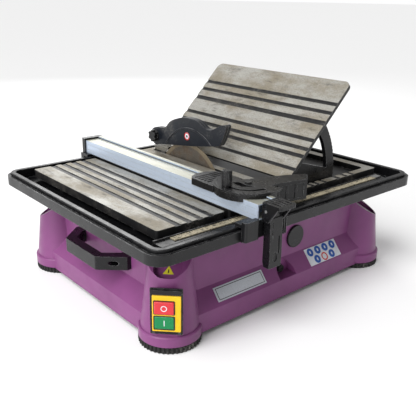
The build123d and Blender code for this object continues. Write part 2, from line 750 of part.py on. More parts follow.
def make_end_shield(x0, x1, pocket_side):
    """End shield with a pocket for the bearing on its inner side."""
    shield = rod_x(x0, x1, blade_y, blade_z, motor_radius - 3)
    shield -= rod_x(x0 - 1, x1 + 1, blade_y, blade_z, shaft_radius + 1)
    if pocket_side > 0:
        shield -= rod_x(x1 - bearing_width, x1 + 1, blade_y, blade_z, bearing_radius)
    else:
        shield -= rod_x(x0 - 1, x0 + bearing_width, blade_y, blade_z, bearing_radius)
    for angle in range(45, 360, 90):
        y = blade_y + (motor_radius - 5) * math.cos(math.radians(angle))
        z = blade_z + (motor_radius - 5) * math.sin(math.radians(angle))
        shield -= rod_x(x0 - 1, x1 + 1, y, z, 1.8)
    return shield


bearing_width = 8.0
bearing_radius = 16.0
shield_thickness = 7.0
add("motor_end_shields", make_end_shield(motor_start - shield_thickness, motor_start, 1),
    make_end_shield(motor_end, motor_end + shield_thickness, -1))
bearings = []
for x in (motor_start - bearing_width + 1.5, motor_end - 1.5):
    bearing = rod_x(x, x + bearing_width, blade_y, blade_z, bearing_radius)
    bearing -= rod_x(x - 1, x + bearing_width + 1, blade_y, blade_z, shaft_radius + run_gap)
    groove = rod_x(x - 1, x + 1, blade_y, blade_z, 13.5) - rod_x(x - 2, x + 2, blade_y, blade_z, 10.5)
    bearings.append(bearing - groove)
add("shaft_bearings", *bearings)
fan_x = motor_end + shield_thickness + 3
fan = rod_x(fan_x, fan_x + 12, blade_y, blade_z, 12)
fan += rod_x(fan_x, fan_x + 2, blade_y, blade_z, motor_radius - 8)
fan += Compound([Pos(0, blade_y, blade_z) * Rot(36 * i, 0, 0) * box(fan_x, fan_x + 12, -1, 1, 10,
                                                                   motor_radius - 9) for i in range(10)])
fan -= rod_x(fan_x - 1, fan_x + 20, blade_y, blade_z, shaft_radius)
add("cooling_fan", fan)
cover = rod_x(motor_end + shield_thickness, fan_x + 20, blade_y, blade_z, motor_radius - 3)
cover -= rod_x(motor_end, fan_x + 18, blade_y, blade_z, motor_radius - 5)
for radius in (14, 22, 30):
    cover -= Compound([Pos(0, blade_y, blade_z) * Rot(45 * i, 0, 0)
                       * rod_x(fan_x + 10, fan_x + 22, radius, 0, 2.6)
                       for i in range(8)])
cover -= rod_x(fan_x + 10, fan_x + 22, blade_y, blade_z, shaft_radius + 1)
add("fan_cover", cover)
seal = rod_x(canopy_x[0] - 2, canopy_x[0] + tank_wall, blade_y, blade_z, seal_radius - run_gap)
seal += rod_x(canopy_x[0] - 2, canopy_x[0], blade_y, blade_z, seal_radius + 3)
seal -= rod_x(canopy_x[0] - 5, canopy_x[0] + 6, blade_y, blade_z, shaft_radius + run_gap)
add("shaft_seal", seal)

plate_screws = base_plate_screws()
base_plate = box(canopy_x[0] - 4, canopy_x[1] + 4, canopy_y[0] - 18, canopy_y[1] + 18,
                 plate_top - 2.5, plate_top)
base_plate -= box(blade_x - 19, blade_x + 16, canopy_y[0] - 19, canopy_y[1] + 19, 0, plate_top + 1)
for x, y in plate_screws + foot_screws_at:
    base_plate -= rod_z(x, y, plate_top - 4, plate_top + 1, screw_radius + run_gap)
add("motor_base_plate", base_plate)
motor_screws = [pan_screw(x, y, plate_top - 2.5, 10, True) for x, y in plate_screws + foot_screws_at]
add("pan_head_screws", *tray_screws, *table_screws, *guide_screws, *motor_screws)
capacitor = rod_x(motor_start + 34, motor_start + 78, blade_y, plate_top + 15, 15)
capacitor = fillet(capacitor.edges().filter_by(GeomType.CIRCLE), 1.5)
add("run_capacitor", capacitor)

# ---------------------------------------------------------------- riving knife
knife_left = blade_x - knife_thickness / 2
knife_right = blade_x + knife_thickness / 2
knife_radius = blade_radius + knife_gap
knife_foot_z = recess_under - 4
knife_back = 200.0


def make_knife():
    angle_low = math.asin((knife_foot_z - blade_z) / knife_radius)
    angle_high = math.radians(62)
    points = []
    for i in range(13):
        angle = angle_low + (angle_high - angle_low) * i / 12
        points.append((blade_y + knife_radius * math.cos(angle), blade_z + knife_radius * math.sin(angle)))
    points += [(guard_pivot_y - 20, guard_pivot_z + 3), (guard_pivot_y - 4, guard_pivot_z + 10),
               (guard_pivot_y + 7, guard_pivot_z + 7), (guard_pivot_y + 11, guard_pivot_z - 3),
               (knife_back, table_top + 6), (knife_back, knife_foot_z)]
    knife = plate_yz(points, knife_left, knife_right)
    knife -= rod_x(0, 20, guard_pivot_y, guard_pivot_z, 3 + run_gap)
    for y in (182, 194):
        knife -= rod_x(0, 20, y, bracket_bolt_z, screw_radius + run_gap)
    return knife


bracket_bolt_z = skirt_low + 1.0
add("riving_knife", make_knife())
bracket = box(knife_right, knife_right + 16, 177, 201, recess_under - 4, plate_under)
bracket -= box(knife_right + 4, knife_right + 17, 172, 205, recess_under - 5, plate_under - 4)
for y in bracket_screw_y:
    bracket -= rod_z(bracket_x, y, recess_under - 10, plate_under + 1, screw_radius + run_gap)
for y in (182, 194):
    bracket -= rod_x(0, 14, y, bracket_bolt_z, screw_radius + run_gap)
add("knife_bracket", bracket)
knife_bolts = []
for y in (182, 194):
    bolt = rod_x(knife_left - 3, knife_right + 6, y, bracket_bolt_z, screw_radius)
    bolt += rod_x(knife_left - 3, knife_left, y, bracket_bolt_z, 3.6)
    knife_bolts.append(bolt)
for y in bracket_screw_y:
    bolt = rod_z(bracket_x, y, plate_under - 6, plate_under + 2, screw_radius)
    bolt += rod_z(bracket_x, y, plate_under - 6, plate_under - 4, 3.6)
    knife_bolts.append(bolt)
add("knife_bolts", *knife_bolts)


# ---------------------------------------------------------------- blade guard
def guard_face(x):
    """The guard's side outline: rear lug, humped back, saddle and raised beak."""
    lug = Edge.make_three_point_arc(Vector(x, 176, 214), Vector(x, 205, 231), Vector(x, 195, 246))
    back = Edge.make_spline([Vector(x, 195, 246), Vector(x, 180, 250.5), Vector(x, 152, 255.5),
                             Vector(x, 141, 266), Vector(x, 118, 278), Vector(x, 96, 284.5),
                             Vector(x, 71, 287), Vector(x, 50, 285.8),
                             Vector(x, 36, 281), Vector(x, 24, 275), Vector(x, 4, 275.5),
                             Vector(x, -10, 282), Vector(x, -35, 291.2)])
    beak = Edge.make_line(Vector(x, -35, 291.2), Vector(x, -37.7, 288.4))
    front = Edge.make_spline([Vector(x, -37.7, 288.4), Vector(x, -29, 264), Vector(x, -19.6, 248)])
    under = Edge.make_spline([Vector(x, -19.6, 248), Vector(x, 45, 234.4), Vector(x, 98, 225.6),
                              Vector(x, 176, 214)])
    return make_face([lug, back, beak, front, under])


guard_hollow = [(160, 248), (147, 253.5), (137, 263), (116, 274), (95, 280.5), (71, 283), (50, 282),
                (35, 277), (20, 270.5), (4, 271), (-12, 277), (-26, 281), (-15, 251)]
guard_left = blade_x - guard_width / 2
guard_right = blade_x + guard_width / 2


def make_guard_half(side):
    """One moulded half of the guard, open below so that the blade runs inside."""
    x_out = guard_left if side < 0 else guard_right
    depth = guard_width / 2
    face = guard_face(x_out)
    half = extrude(face, depth, dir=(-side, 0, 0))
    # the hollow follows the outline, a wall's thickness inside it and open along the underside
    hollow = Edge.make_spline([Vector(x_out, y, z) for y, z in guard_hollow])
    floor_line = Edge.make_line(hollow @ 1, Vector(x_out, guard_hollow[-1][0], 200))
    base_line = Edge.make_line(floor_line @ 1, Vector(x_out, guard_hollow[0][0], 200))
    rise_line = Edge.make_line(base_line @ 1, hollow @ 0)
    space = extrude(make_face([hollow, floor_line, base_line, rise_line]), depth + 1, dir=(-side, 0, 0))
    x_in = x_out - side * guard_wall
    cut_low, cut_high = sorted((x_in, blade_x - side * 1))
    half -= space & box(cut_low, cut_high, -80, guard_pivot_y - 26, 180, 320)
    # room for the riving knife beside the pivot lug
    slot_low, slot_high = sorted((blade_x, blade_x + side * (knife_thickness / 2 + free_gap)))
    half -= box(slot_low, slot_high, guard_pivot_y - 36, 215, 200, guard_pivot_z + 17)
    half -= rod_x(guard_left - 5, guard_right + 5, guard_pivot_y, guard_pivot_z, 3 + run_gap)
    return half


def guard_ridge():
    """Raised arc on the guard's left face."""
    x = guard_left
    outer = Edge.make_three_point_arc(Vector(x, 151, 222.2), Vector(x, 70, 267.2), Vector(x, 4, 244.2))
    inner = Edge.make_three_point_arc(Vector(x, 8, 243.4), Vector(x, 70, 264), Vector(x, 147, 222.6))
    right_end = Edge.make_line(Vector(x, 4, 244.2), Vector(x, 8, 243.4))
    left_end = Edge.make_line(Vector(x, 147, 222.6), Vector(x, 151, 222.2))
    return extrude(make_face([outer, right_end, inner, left_end]), 1.4, dir=(-1, 0, 0))


add("guard_left_shell", make_guard_half(-1) + guard_ridge())
add("guard_right_shell", make_guard_half(1))
guard_bolt = rod_x(guard_left - 7, guard_right + 3, guard_pivot_y, guard_pivot_z, 3)
bolt_head = extrude(RegularPolygon(6, 6), 4)
guard_bolt += Pos(guard_right, guard_pivot_y, guard_pivot_z) * Rot(0, 90, 0) * bolt_head
add("guard_bolt", guard_bolt)
knob = rod_x(guard_left - 11, guard_left - 0.3, guard_pivot_y, guard_pivot_z, guard_knob_radius)
knob -= Compound([Pos(0, guard_pivot_y, guard_pivot_z) * Rot(60 * i, 0, 0)
                  * rod_x(guard_left - 14, guard_left - 2.8, guard_knob_radius + 2.0, 0, 5.0)
                  for i in range(6)])
knob -= rod_x(guard_left - 7.5, guard_left + 1, guard_pivot_y, guard_pivot_z, 3 + run_gap)
add("guard_knob", knob)

# ---------------------------------------------------------------- fence
half_fence = fence_length / 2


def fence_profile():
    x0, x1 = fence_x
    outline = [(x0, fence_bottom), (x1, fence_bottom), (x1, fence_top), (x1 - 7, fence_top),
               (x1 - 7, fence_ledge), (x0, fence_ledge)]
    rail = plate_xz(outline, -half_fence, half_fence)
    wall = 2.2
    rail -= box(x0 + wall, x1 - 9.2, -half_fence - 1, half_fence + 1, fence_bottom + wall,
                fence_ledge - wall)
    rail -= box(x1 - 7, x1 - wall, -half_fence - 1, half_fence + 1, fence_bottom + wall, fence_top - wall)
    # shallow lines along the outer face and the top
    for z in (fence_bottom + 7, fence_bottom + 18):
        rail -= box(x0 - 1, x0 + 0.5, -half_fence - 1, half_fence + 1, z, z + 0.8)
    rail -= box(x1 - 13, x1 - 11.8, -half_fence - 1, half_fence + 1, fence_ledge - 0.6, fence_ledge + 1)
    return rail


rim_face = tray_depth / 2
saddle_bottom = rim_top + 0.4
head_x = (-123.0, -87.0)
jaw_gap = 1.4
lever_x = (head_x[0] + 4.4, head_x[1] - 4.4)
lever_pin_y = -half_fence - 8.0
lever_pin_z = 214.0
lever_low = 119.0
jaw_face = -rim_face - jaw_gap


def make_front_clamp():
    """Front end of the fence: a saddle over the rim, a jaw down the skirt and a ribbed head."""
    body = box(-162, -70, jaw_face - 4, -rim_face + 13, saddle_bottom, fence_bottom)
    body += box(-162, -70, jaw_face - 3.6, jaw_face, skirt_bottom, fence_bottom)
    left = box(-162, fence_x[0] - 0.5, jaw_face - 10, jaw_face, skirt_bottom + 1, fence_bottom + 4)
    left = fillet(left.edges().filter_by(Axis.Z).group_by(Axis.Y)[0], 4)
    body += left
    right = box(-86, -70, jaw_face - 9, jaw_face, skirt_bottom - 5, fence_bottom + 3)
    for i in range(3):
        right -= box(-84 + 5 * i, -81.5 + 5 * i, jaw_face - 12, jaw_face - 6, 100, 300)
    body += right
    head_back = -half_fence - free_gap
    head = box(head_x[0], head_x[1], -half_fence - 38, head_back, fence_ledge - 3, fence_ledge + 3)
    head = fillet(head.edges().filter_by(Axis.Z).group_by(Axis.Y)[0], 4)
    for i in range(4):
        x = head_x[0] + 7 + 7.4 * i
        head -= box(x - 1.8, x + 1.8, -half_fence - 33, -half_fence - 5, fence_ledge + 1.2, fence_ledge + 4)
    body += head
    for x0, x1 in ((head_x[0], head_x[0] + 4), (head_x[1] - 4, head_x[1])):
        cheek = plate_yz([(head_back, fence_bottom - 2), (head_back, fence_ledge - 2),
                          (head_back - 32, fence_ledge - 2), (head_back - 14, fence_bottom - 2)], x0, x1)
        body += cheek
        body += box(x0, x1, head_back - 2, jaw_face - 3, fence_bottom - 2.5, fence_bottom)
    body -= rod_x(-140, -60, lever_pin_y, lever_pin_z, 2.5 + run_gap)
    for x in fence_screw_x:
        body -= rod_z(x, -rim_face + 6, saddle_bottom - 1, fence_bottom + 1, screw_radius + run_gap)
    return body


def make_rear_clamp():
    """Rear end of the fence, hooked over the rim."""
    jaw = rim_face + jaw_gap
    body = box(-141, -85, rim_face - 13, jaw + 12, saddle_bottom, fence_bottom)
    body += box(-141, -85, jaw, jaw + 12, skirt_bottom + 4, fence_bottom)
    cap_block = box(fence_x[0] - 3, fence_x[1] + 3, half_fence + free_gap, half_fence + 14, skirt_bottom + 10,
                    fence_top)
    cap_block = fillet(cap_block.edges().filter_by(Axis.Z).group_by(Axis.Y)[-1], 4)
    body += cap_block
    for x in fence_screw_x:
        body -= rod_z(x, rim_face - 6, saddle_bottom - 1, fence_bottom + 1, screw_radius + run_gap)
    return body


fence_screw_x = [fence_x[0] + 8, fence_x[1] - 13]
add("fence_front_clamp", make_front_clamp())
add("fence_rear_clamp", make_rear_clamp())
fence_screws = []
for y in (-rim_face + 6, rim_face - 6):
    for x in fence_screw_x:
        fence_screws.append(rod_z(x, y, saddle_bottom, fence_bottom + 5, screw_radius)
                            + rod_z(x, y, fence_bottom + 2.2, fence_bottom + 5, 3.6))
rail = fence_profile()
for y in (-rim_face + 6, rim_face - 6):
    for x in fence_screw_x:
        rail -= rod_z(x, y, fence_bottom - 1, fence_bottom + 2.3, screw_radius + run_gap)
add("fence_rail", rail)
add("fence_screws", *fence_screws)


def make_lever():
    """Cam lever that hangs from the fence's front head."""
    x0, x1 = lever_x
    y0 = lever_pin_y - 7
    y1 = lever_pin_y + 6.0
    lever = plate_yz([(y1, lever_pin_z - 12), (y1, lever_low + 8), (y1 - 3, lever_low),
                      (y0 - 2, lever_low), (y0 - 2, lever_low + 30), (y0, lever_pin_z - 12)], x0, x1)
    lever += rod_x(x0, x1, lever_pin_y, lever_pin_z, 6.0)
    lever += box(x0, x1, lever_pin_y - 5, lever_pin_y + 5, lever_pin_z - 14, lever_pin_z)
    # long side flute and the finger recess low on the front face
    lever -= box(x1 - 8, x1 - 5.5, y0 - 4, y0 + 1.5, lever_low + 22, lever_low + 52)
    lever -= box(x0 + 5, x0 + 7, y0 - 1, y0 + 1.2, lever_low + 30, lever_pin_z - 18)
    oval = Pos((x0 + x1) / 2 - 1, y0 - 2, lever_low + 18) * Rot(90, 0, 0) * SlotOverall(17, 9, rotation=90)
    lever -= extrude(oval, 1.2, both=True)
    lever -= rod_x(x0 - 1, x1 + 1, lever_pin_y, lever_pin_z, 2.5 + run_gap)
    return lever


add("clamp_lever", make_lever())
add("lever_pin", rod_x(head_x[0], head_x[1], lever_pin_y, lever_pin_z, 2.5))

# ---------------------------------------------------------------- mitre gauge
shoe_low = 220.0
shoe_gap = 0.3
shoe_top = fence_top + 0.2 + shoe_bridge
head_low = shoe_top + 0.2
head_top = head_low + head_thickness
pusher_low = table_top + 3.5
pivot_boss = 31.0
slot_bearings = (119.0, 266.0)
slot_half_width = 3.2
knob_angle = math.radians(164.5)
knob_x = gauge_x + gauge_slot_radius * math.cos(knob_angle)
knob_y = gauge_y + gauge_slot_radius * math.sin(knob_angle)
knob_height = 26.0


def around(radius, degrees):
    """A point at a distance and a bearing from the gauge's pivot."""
    turn = math.radians(degrees)
    return (gauge_x + radius * math.cos(turn), gauge_y + radius * math.sin(turn))


def make_gauge_shoe():
    """Shoe that rides on the fence: a round table for the head and a ribbed grip behind it."""
    rim = rod_z(gauge_x, gauge_y, shoe_low, shoe_top, gauge_radius - 1.5)
    rim &= plate_xy([(gauge_x, gauge_y)] + [around(200, turn) for turn in (118, 180, 230, 280)],
                    shoe_low - 1, shoe_top + 1)
    boss = rod_z(gauge_x, gauge_y, shoe_low, shoe_top, pivot_boss)
    grip = plate_xy([(-138, -160), (-137, -104), (-129, -95), (-113, -88), (-94, -90), (-80, -98),
                     (-72, -112), (-72, -160)], shoe_low, shoe_top)
    for i in range(5):
        y = -106 - 8 * i
        grip -= box(-131, -78, y - 1.8, y + 1.8, shoe_top - 1.4, shoe_top + 1)
    shoe = rim + boss + grip
    shoe -= box(fence_x[0] - shoe_gap, fence_x[1] + shoe_gap, -300, 0, shoe_low - 1, fence_ledge + shoe_gap)
    shoe -= box(fence_x[1] - 7 - shoe_gap, fence_x[1] + shoe_gap, -300, 0, shoe_low - 1, fence_top + 0.2)
    shoe -= rod_z(gauge_x, gauge_y, shoe_low - 1, shoe_top + 1, 3 + run_gap)
    shoe -= rod_z(knob_x, knob_y, shoe_low - 1, shoe_top + 1, 2.5 + run_gap)
    return shoe


add("gauge_shoe", make_gauge_shoe())


def make_gauge_head():
    """Turning plate with its arc slot, its window and the arm that pushes the tile."""
    disc = rod_z(gauge_x, gauge_y, head_low, head_top, gauge_radius)
    disc &= plate_xy([(gauge_x + 9, gauge_y + 6)] + [around(200, turn) for turn in (112, 180, 240, 287)],
                     head_low, head_top)
    disc += rod_z(gauge_x, gauge_y, head_low, head_top, 10)
    arm_top = plate_xy([(-69, -176), (-64.5, -177.5), (-4, -198.6), (26, -213.5), (26, -219), (7, -235.5),
                        (-52, -223.2), (-68, -221.7), (-88, -220), (-86, -184)], head_low, head_top)
    arm = plate_xy([(-52, -181.5), (-4, -198.6), (26, -213.5), (26, -219), (7, -235.5), (-52, -223.2)],
                   pusher_low, head_low)
    arm -= plate_xy([(-49.5, -185), (-5, -201), (18.5, -214), (5, -230), (-49.5, -219.3)], pusher_low - 1,
                    head_low)
    ribs = [box(x, x + 3, -240, -190, pusher_low, head_low) for x in (-34, -16, 0)]
    arm_wide = plate_xy([(-52, -181.5), (-4, -198.6), (26, -213.5), (26, -219), (7, -235.5), (-52, -223.2)],
                        pusher_low, head_low)
    for rib in ribs:
        arm += rib & arm_wide
    # shallow panels on the front face, between upright ribs
    front_turn = math.degrees(math.atan2(-235.5 + 223.2, 7 + 52))
    front = Pos(-52, -223.2, 0) * Rot(0, 0, front_turn)
    for x in (4, 22, 40):
        arm -= front * box(x, x + 14, -3, 1.2, pusher_low + 4, head_low - 3)
    head = disc + arm_top + arm
    slot_cut = rod_z(gauge_x, gauge_y, head_low - 1, head_top + 1, gauge_slot_radius + slot_half_width)
    slot_cut -= rod_z(gauge_x, gauge_y, head_low - 2, head_top + 2, gauge_slot_radius - slot_half_width)
    low_turn, high_turn = slot_bearings
    sector = [around(200, turn) for turn in (low_turn, 170, 220, high_turn)]
    slot_cut &= plate_xy([(gauge_x, gauge_y)] + sector, head_low - 3, head_top + 3)
    head -= slot_cut
    for turn in slot_bearings:
        x, y = around(gauge_slot_radius, turn)
        head -= rod_z(x, y, head_low - 1, head_top + 1, slot_half_width)
    head -= plate_xy([(-108, -172), (-97, -178), (-98, -196), (-93, -213), (-112, -199)], head_low - 1,
                     head_top + 1)
    # fine groove near the rim
    groove = rod_z(gauge_x, gauge_y, head_top - 0.8, head_top + 1, gauge_radius - 5)
    groove -= rod_z(gauge_x, gauge_y, head_top - 2, head_top + 2, gauge_radius - 6.2)
    groove &= plate_xy([(gauge_x, gauge_y)] + [around(200, turn) for turn in (118, 180, 225, 270)],
                       head_top - 3, head_top + 3)
    head -= groove
    return head - rod_z(gauge_x, gauge_y, head_low - 1, head_top + 1, 3 + run_gap)


add("gauge_head", make_gauge_head())
pivot_screw = rod_z(gauge_x, gauge_y, shoe_low, head_top + 0.2, 3)
pivot_screw += rod_z(gauge_x, gauge_y, head_top + 0.2, head_top + 2.4, 6)
add("gauge_pivot_screw", pivot_screw)
gauge_knob = rod_z(knob_x, knob_y, head_top + 0.2, head_top + knob_height, 8.5)
gauge_knob = fillet(gauge_knob.edges().group_by(Axis.Z)[-1], 1.2)
gauge_knob -= Compound([Pos(knob_x, knob_y, 0) * Rot(0, 0, 20 * i) * rod_z(9.1, 0, head_top + 3,
                                                                          head_top + knob_height + 1, 0.9)
                        for i in range(18)])
gauge_knob += rod_z(knob_x, knob_y, fence_ledge + shoe_gap + 0.3, head_top + 1, 2.5)
add("gauge_knob", gauge_knob)


# ---------------------------------------------------------------- carry handles
def make_handle(side):
    """U-shaped handle with flared arms; its ends sit against the base wall."""
    wall_x = base_length / 2
    half = handle_length / 2
    bar = handle_bar / 2
    outer = [(wall_x, -half), (wall_x + 8, -half), (wall_x + handle_reach, -bar),
             (wall_x + handle_reach, bar), (wall_x + 8, half), (wall_x, half)]
    thick = 17.0
    inner = [(wall_x, -half + 22), (wall_x + 6, -half + 22), (wall_x + handle_reach - thick, -bar + 7),
             (wall_x + handle_reach - thick, bar - 7), (wall_x + 6, half - 22), (wall_x, half - 22)]
    z0 = handle_z - handle_height / 2
    z1 = handle_z + handle_height / 2
    body = plate_xy(outer, z0, z1)
    body = fillet(body.edges().filter_by(Axis.Z).group_by(Axis.X)[-1], 5)
    body -= plate_xy([(x - 0.01 if x == wall_x else x, y) for x, y in inner], z0 - 1, z1 + 1)
    for end in (-1, 1):
        y = end * handle_screw_y
        body -= rod_x(wall_x - 1, wall_x + 80, y, handle_z, screw_radius + run_gap)
        deep = Pos(wall_x + 4, y, handle_z) * Rot(0, 90, 0) * SlotOverall(12, 8, rotation=90)
        body -= extrude(deep, 60, dir=(1, 0, 0))
    if side < 0:
        body = mirror(body, about=Plane.YZ)
    return body


add("carry_handles", make_handle(-1), make_handle(1))
handle_screws = []
for side in (-1, 1):
    for end in (-1, 1):
        y = end * handle_screw_y
        wall_x = side * base_length / 2
        low, high = sorted((wall_x - side * (base_wall + 1), wall_x + side * 4))
        head_near, head_far = sorted((wall_x + side * 4, wall_x + side * 6.5))
        handle_screws.append(rod_x(low, high, y, handle_z, screw_radius)
                             + rod_x(head_near, head_far, y, handle_z, 3.8))

# ---------------------------------------------------------------- switch on the front left leg
face = switch_frame()
switch_top = switch_low + switch_height
half_width = switch_width / 2
plate_front = 2.0
bezel_shift = 2.0
bezel_low = switch_low + 6
bezel_high = switch_top - 11
buttons_y = 5.0
red_mid = switch_low + 47.0
green_mid = switch_low + 21.0
button_holes = [(red_mid, button_height), (green_mid, button_height)]


def pocket(y, z, width, height, x0, x1):
    return box(x0, x1, y - width / 2, y + width / 2, z - height / 2, z + height / 2)


switch_plate = box(0, plate_front, -half_width, half_width, switch_low, switch_top)
switch_plate = fillet(switch_plate.edges().filter_by(Axis.X), 1.5)
switch_plate += box(0, plate_front + 3, -half_width + 2, half_width - 1, switch_top - 9.5, switch_top - 2)
switch_case = box(-26, 0, -20.5, 20.5, switch_low + 7.5, switch_top - 9.5)
for z, height in button_holes:
    hole = pocket(-buttons_y + bezel_shift, z, button_width + 2 * free_gap, height + 2 * free_gap, -10, 20)
    switch_plate -= hole
    switch_case -= hole
for y, z in switch_screw_places:
    switch_plate -= rod_x(-10, 20, y, z, 1.5 + run_gap)
bezel = box(plate_front, plate_front + 3, -half_width + 5.5 - bezel_shift, half_width - 2.5, bezel_low,
            bezel_high)
bezel = fillet(bezel.edges().filter_by(Axis.X), 1.5)
bezel = chamfer(bezel.edges().group_by(Axis.X)[-1], 0.6)
for z, height in button_holes:
    bezel -= pocket(-buttons_y + bezel_shift, z, button_width + 2 * free_gap, height + 2 * free_gap, -10, 20)
add("switch_plate", face * switch_plate)
add("switch_case", face * switch_case)
add("switch_bezel", face * bezel)
for name, z in (("stop_button", red_mid), ("start_button", green_mid)):
    rise_out = 8.0 if name == "stop_button" else 6.0
    button = pocket(-buttons_y + bezel_shift, z, button_width, button_height, -4, rise_out)
    button = fillet(button.edges().filter_by(Axis.X), 2.0)
    button = chamfer(button.edges().group_by(Axis.X)[-1], 1.0)
    add(name, face * button)
switch_screws = [face * (rod_x(-6, plate_front, y, z, 1.5) + rod_x(plate_front, plate_front + 1.5, y, z, 2.4))
                 for y, z in switch_screw_places]
add("handle_and_switch_screws", *handle_screws, *switch_screws)

# ---------------------------------------------------------------- plates and stickers
slope_run = ledge_depth_reach
slope_rise = ledge_high - ledge_low
slope_angle = math.degrees(math.atan2(slope_rise, slope_run))
slope_mid_y = -base_depth / 2 - slope_run / 2
slope_mid_z = (ledge_high + ledge_low) / 2


def on_slope(x, width, height, thickness):
    """A thin card on the sloping ledge along the front."""
    card = Box(width, height, thickness, align=(Align.CENTER, Align.CENTER, Align.MIN))
    return Pos(x, slope_mid_y, slope_mid_z) * Rot(slope_angle, 0, 0) * card


add("name_plate", on_slope(-108.5, 113, 25, 0.6))


# ---------------------------------------------------------------- write the pieces
everything = Compound([solid for solids in nodes.values() for solid in solids])
whole = everything.bounding_box()
to_origin = Pos(-(whole.min.X + whole.max.X) / 2, -(whole.min.Y + whole.max.Y) / 2, -whole.min.Z)
for name, solids in nodes.items():
    export_step(to_origin * Compound(solids), f"parts/{name}.step")
print(len(nodes), "pieces, box", whole.size, "moved by", to_origin.position)
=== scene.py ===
"""Bench wet tile saw: finishes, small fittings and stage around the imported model."""

import json
import math

import bmesh
import bpy
from mathutils import Matrix, Vector


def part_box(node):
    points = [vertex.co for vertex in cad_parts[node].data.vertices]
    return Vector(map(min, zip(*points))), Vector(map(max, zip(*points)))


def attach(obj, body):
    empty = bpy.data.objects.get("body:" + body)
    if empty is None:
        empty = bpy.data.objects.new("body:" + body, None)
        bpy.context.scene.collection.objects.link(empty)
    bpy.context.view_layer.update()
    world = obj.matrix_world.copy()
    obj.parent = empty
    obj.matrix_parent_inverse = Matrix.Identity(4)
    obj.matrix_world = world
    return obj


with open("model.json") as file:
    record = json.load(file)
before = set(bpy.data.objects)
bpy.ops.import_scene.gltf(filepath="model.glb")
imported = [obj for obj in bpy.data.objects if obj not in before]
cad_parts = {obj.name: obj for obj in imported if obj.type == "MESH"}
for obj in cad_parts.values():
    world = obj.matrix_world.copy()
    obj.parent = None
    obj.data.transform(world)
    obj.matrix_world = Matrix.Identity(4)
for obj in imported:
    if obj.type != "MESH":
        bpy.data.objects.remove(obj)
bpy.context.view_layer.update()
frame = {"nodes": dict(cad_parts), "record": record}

bl_info = {
    "name": "Wet Tile Saw",
    "version": (1, 0, 0),
    "blender": (4, 5, 0),
    "location": "View3D > Sidebar > Tile Saw",
    "description": "Finishes and fittings of a bench wet tile saw with a tilting table",
    "category": "Object",
}

UP = Vector((0, 0, 1))

# the front slope of the base: where its middle lies, and which way it faces
SLOPE_MIDDLE = Vector((0.0, -0.1905, 0.05875))
SLOPE_NORMAL = Vector((0.0, -0.763, 0.647)).normalized()
# the well in the switch leg's top, and which way its floor faces
WELL_FLOOR = Vector((-0.2530, -0.1800, 0.1262))
WELL_NORMAL = Vector((-0.385, -0.385, 0.838))
# the buttons face out across the corner of the base
SWITCH_NORMAL = Vector((-1, -1, 0)).normalized()

# the tilting table's hinge line, its angle at rest, and how far its top lies below that line
TILT_PIVOT = Vector((0.0089, 0.0, 0.2053))
TILT_ANGLE = math.radians(45)
TILT_TOP_DROP = 0.196 - 0.2053
TABLE_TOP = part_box("side_table")[1].z
BLADE_CENTRE = (0.007, 0.091, 0.134)
BLADE_RADIUS = 0.100

# the camera: where it stands, and its turn, downward tilt and roll in degrees
CAMERA_PLACE = Vector((-0.7416, -0.8281, 0.5263))
CAMERA_TURN, CAMERA_DOWN, CAMERA_ROLL = (math.radians(angle) for angle in (41.12, 20.12, 1.07))
CAMERA_LENS = 51.06


# ------------------------------------------------------------------ node helpers
def put(tree, kind, settings=None, inputs=None):
    """Adds a node to a tree, sets it, and joins or fills its inputs."""
    node = tree.nodes.new(kind)
    for key, value in (settings or {}).items():
        setattr(node, key, value)
    for key, value in (inputs or {}).items():
        if isinstance(value, bpy.types.NodeSocket):
            tree.links.new(value, node.inputs[key])
        else:
            node.inputs[key].default_value = value
    return node


def math_node(tree, operation, *values):
    node = put(tree, "ShaderNodeMath", {"operation": operation}, dict(enumerate(values)))
    return node.outputs[0]


def ramp(tree, value, low, high, to_low=0.0, to_high=1.0):
    """Maps value from low..high to to_low..to_high, smoothly and held at the ends."""
    node = put(tree, "ShaderNodeMapRange", {"interpolation_type": "SMOOTHSTEP"},
               {"Value": value, "From Min": low, "From Max": high, "To Min": to_low, "To Max": to_high})
    return node.outputs["Result"]


def mix_colour(tree, factor, a, b, blend="MIX"):
    node = put(tree, "ShaderNodeMix", {"data_type": "RGBA", "blend_type": blend})
    for index, value in ((0, factor), (6, a), (7, b)):
        if isinstance(value, bpy.types.NodeSocket):
            tree.links.new(value, node.inputs[index])
        else:
            node.inputs[index].default_value = value
    return node.outputs[2]


def object_coordinates(tree, scale=(1, 1, 1), turn=(0, 0, 0)):
    coordinates = put(tree, "ShaderNodeTexCoord").outputs["Object"]
    return put(tree, "ShaderNodeMapping", None,
               {"Vector": coordinates, "Scale": scale, "Rotation": turn}).outputs[0]


def noise(tree, vector, scale, detail=4.0, roughness=0.55):
    node = put(tree, "ShaderNodeTexNoise", None,
               {"Vector": vector, "Scale": scale, "Detail": detail, "Roughness": roughness})
    return node.outputs[0]


def start_group(name, inputs, outputs):
    """A shader node group with named float sockets."""
    tree = bpy.data.node_groups.new(name, "ShaderNodeTree")
    for socket, default in inputs:
        made = tree.interface.new_socket(socket, in_out="INPUT", socket_type="NodeSocketFloat")
        made.default_value = default
    for socket in outputs:
        tree.interface.new_socket(socket, in_out="OUTPUT", socket_type="NodeSocketFloat")
    return tree, tree.nodes.new("NodeGroupInput"), tree.nodes.new("NodeGroupOutput")


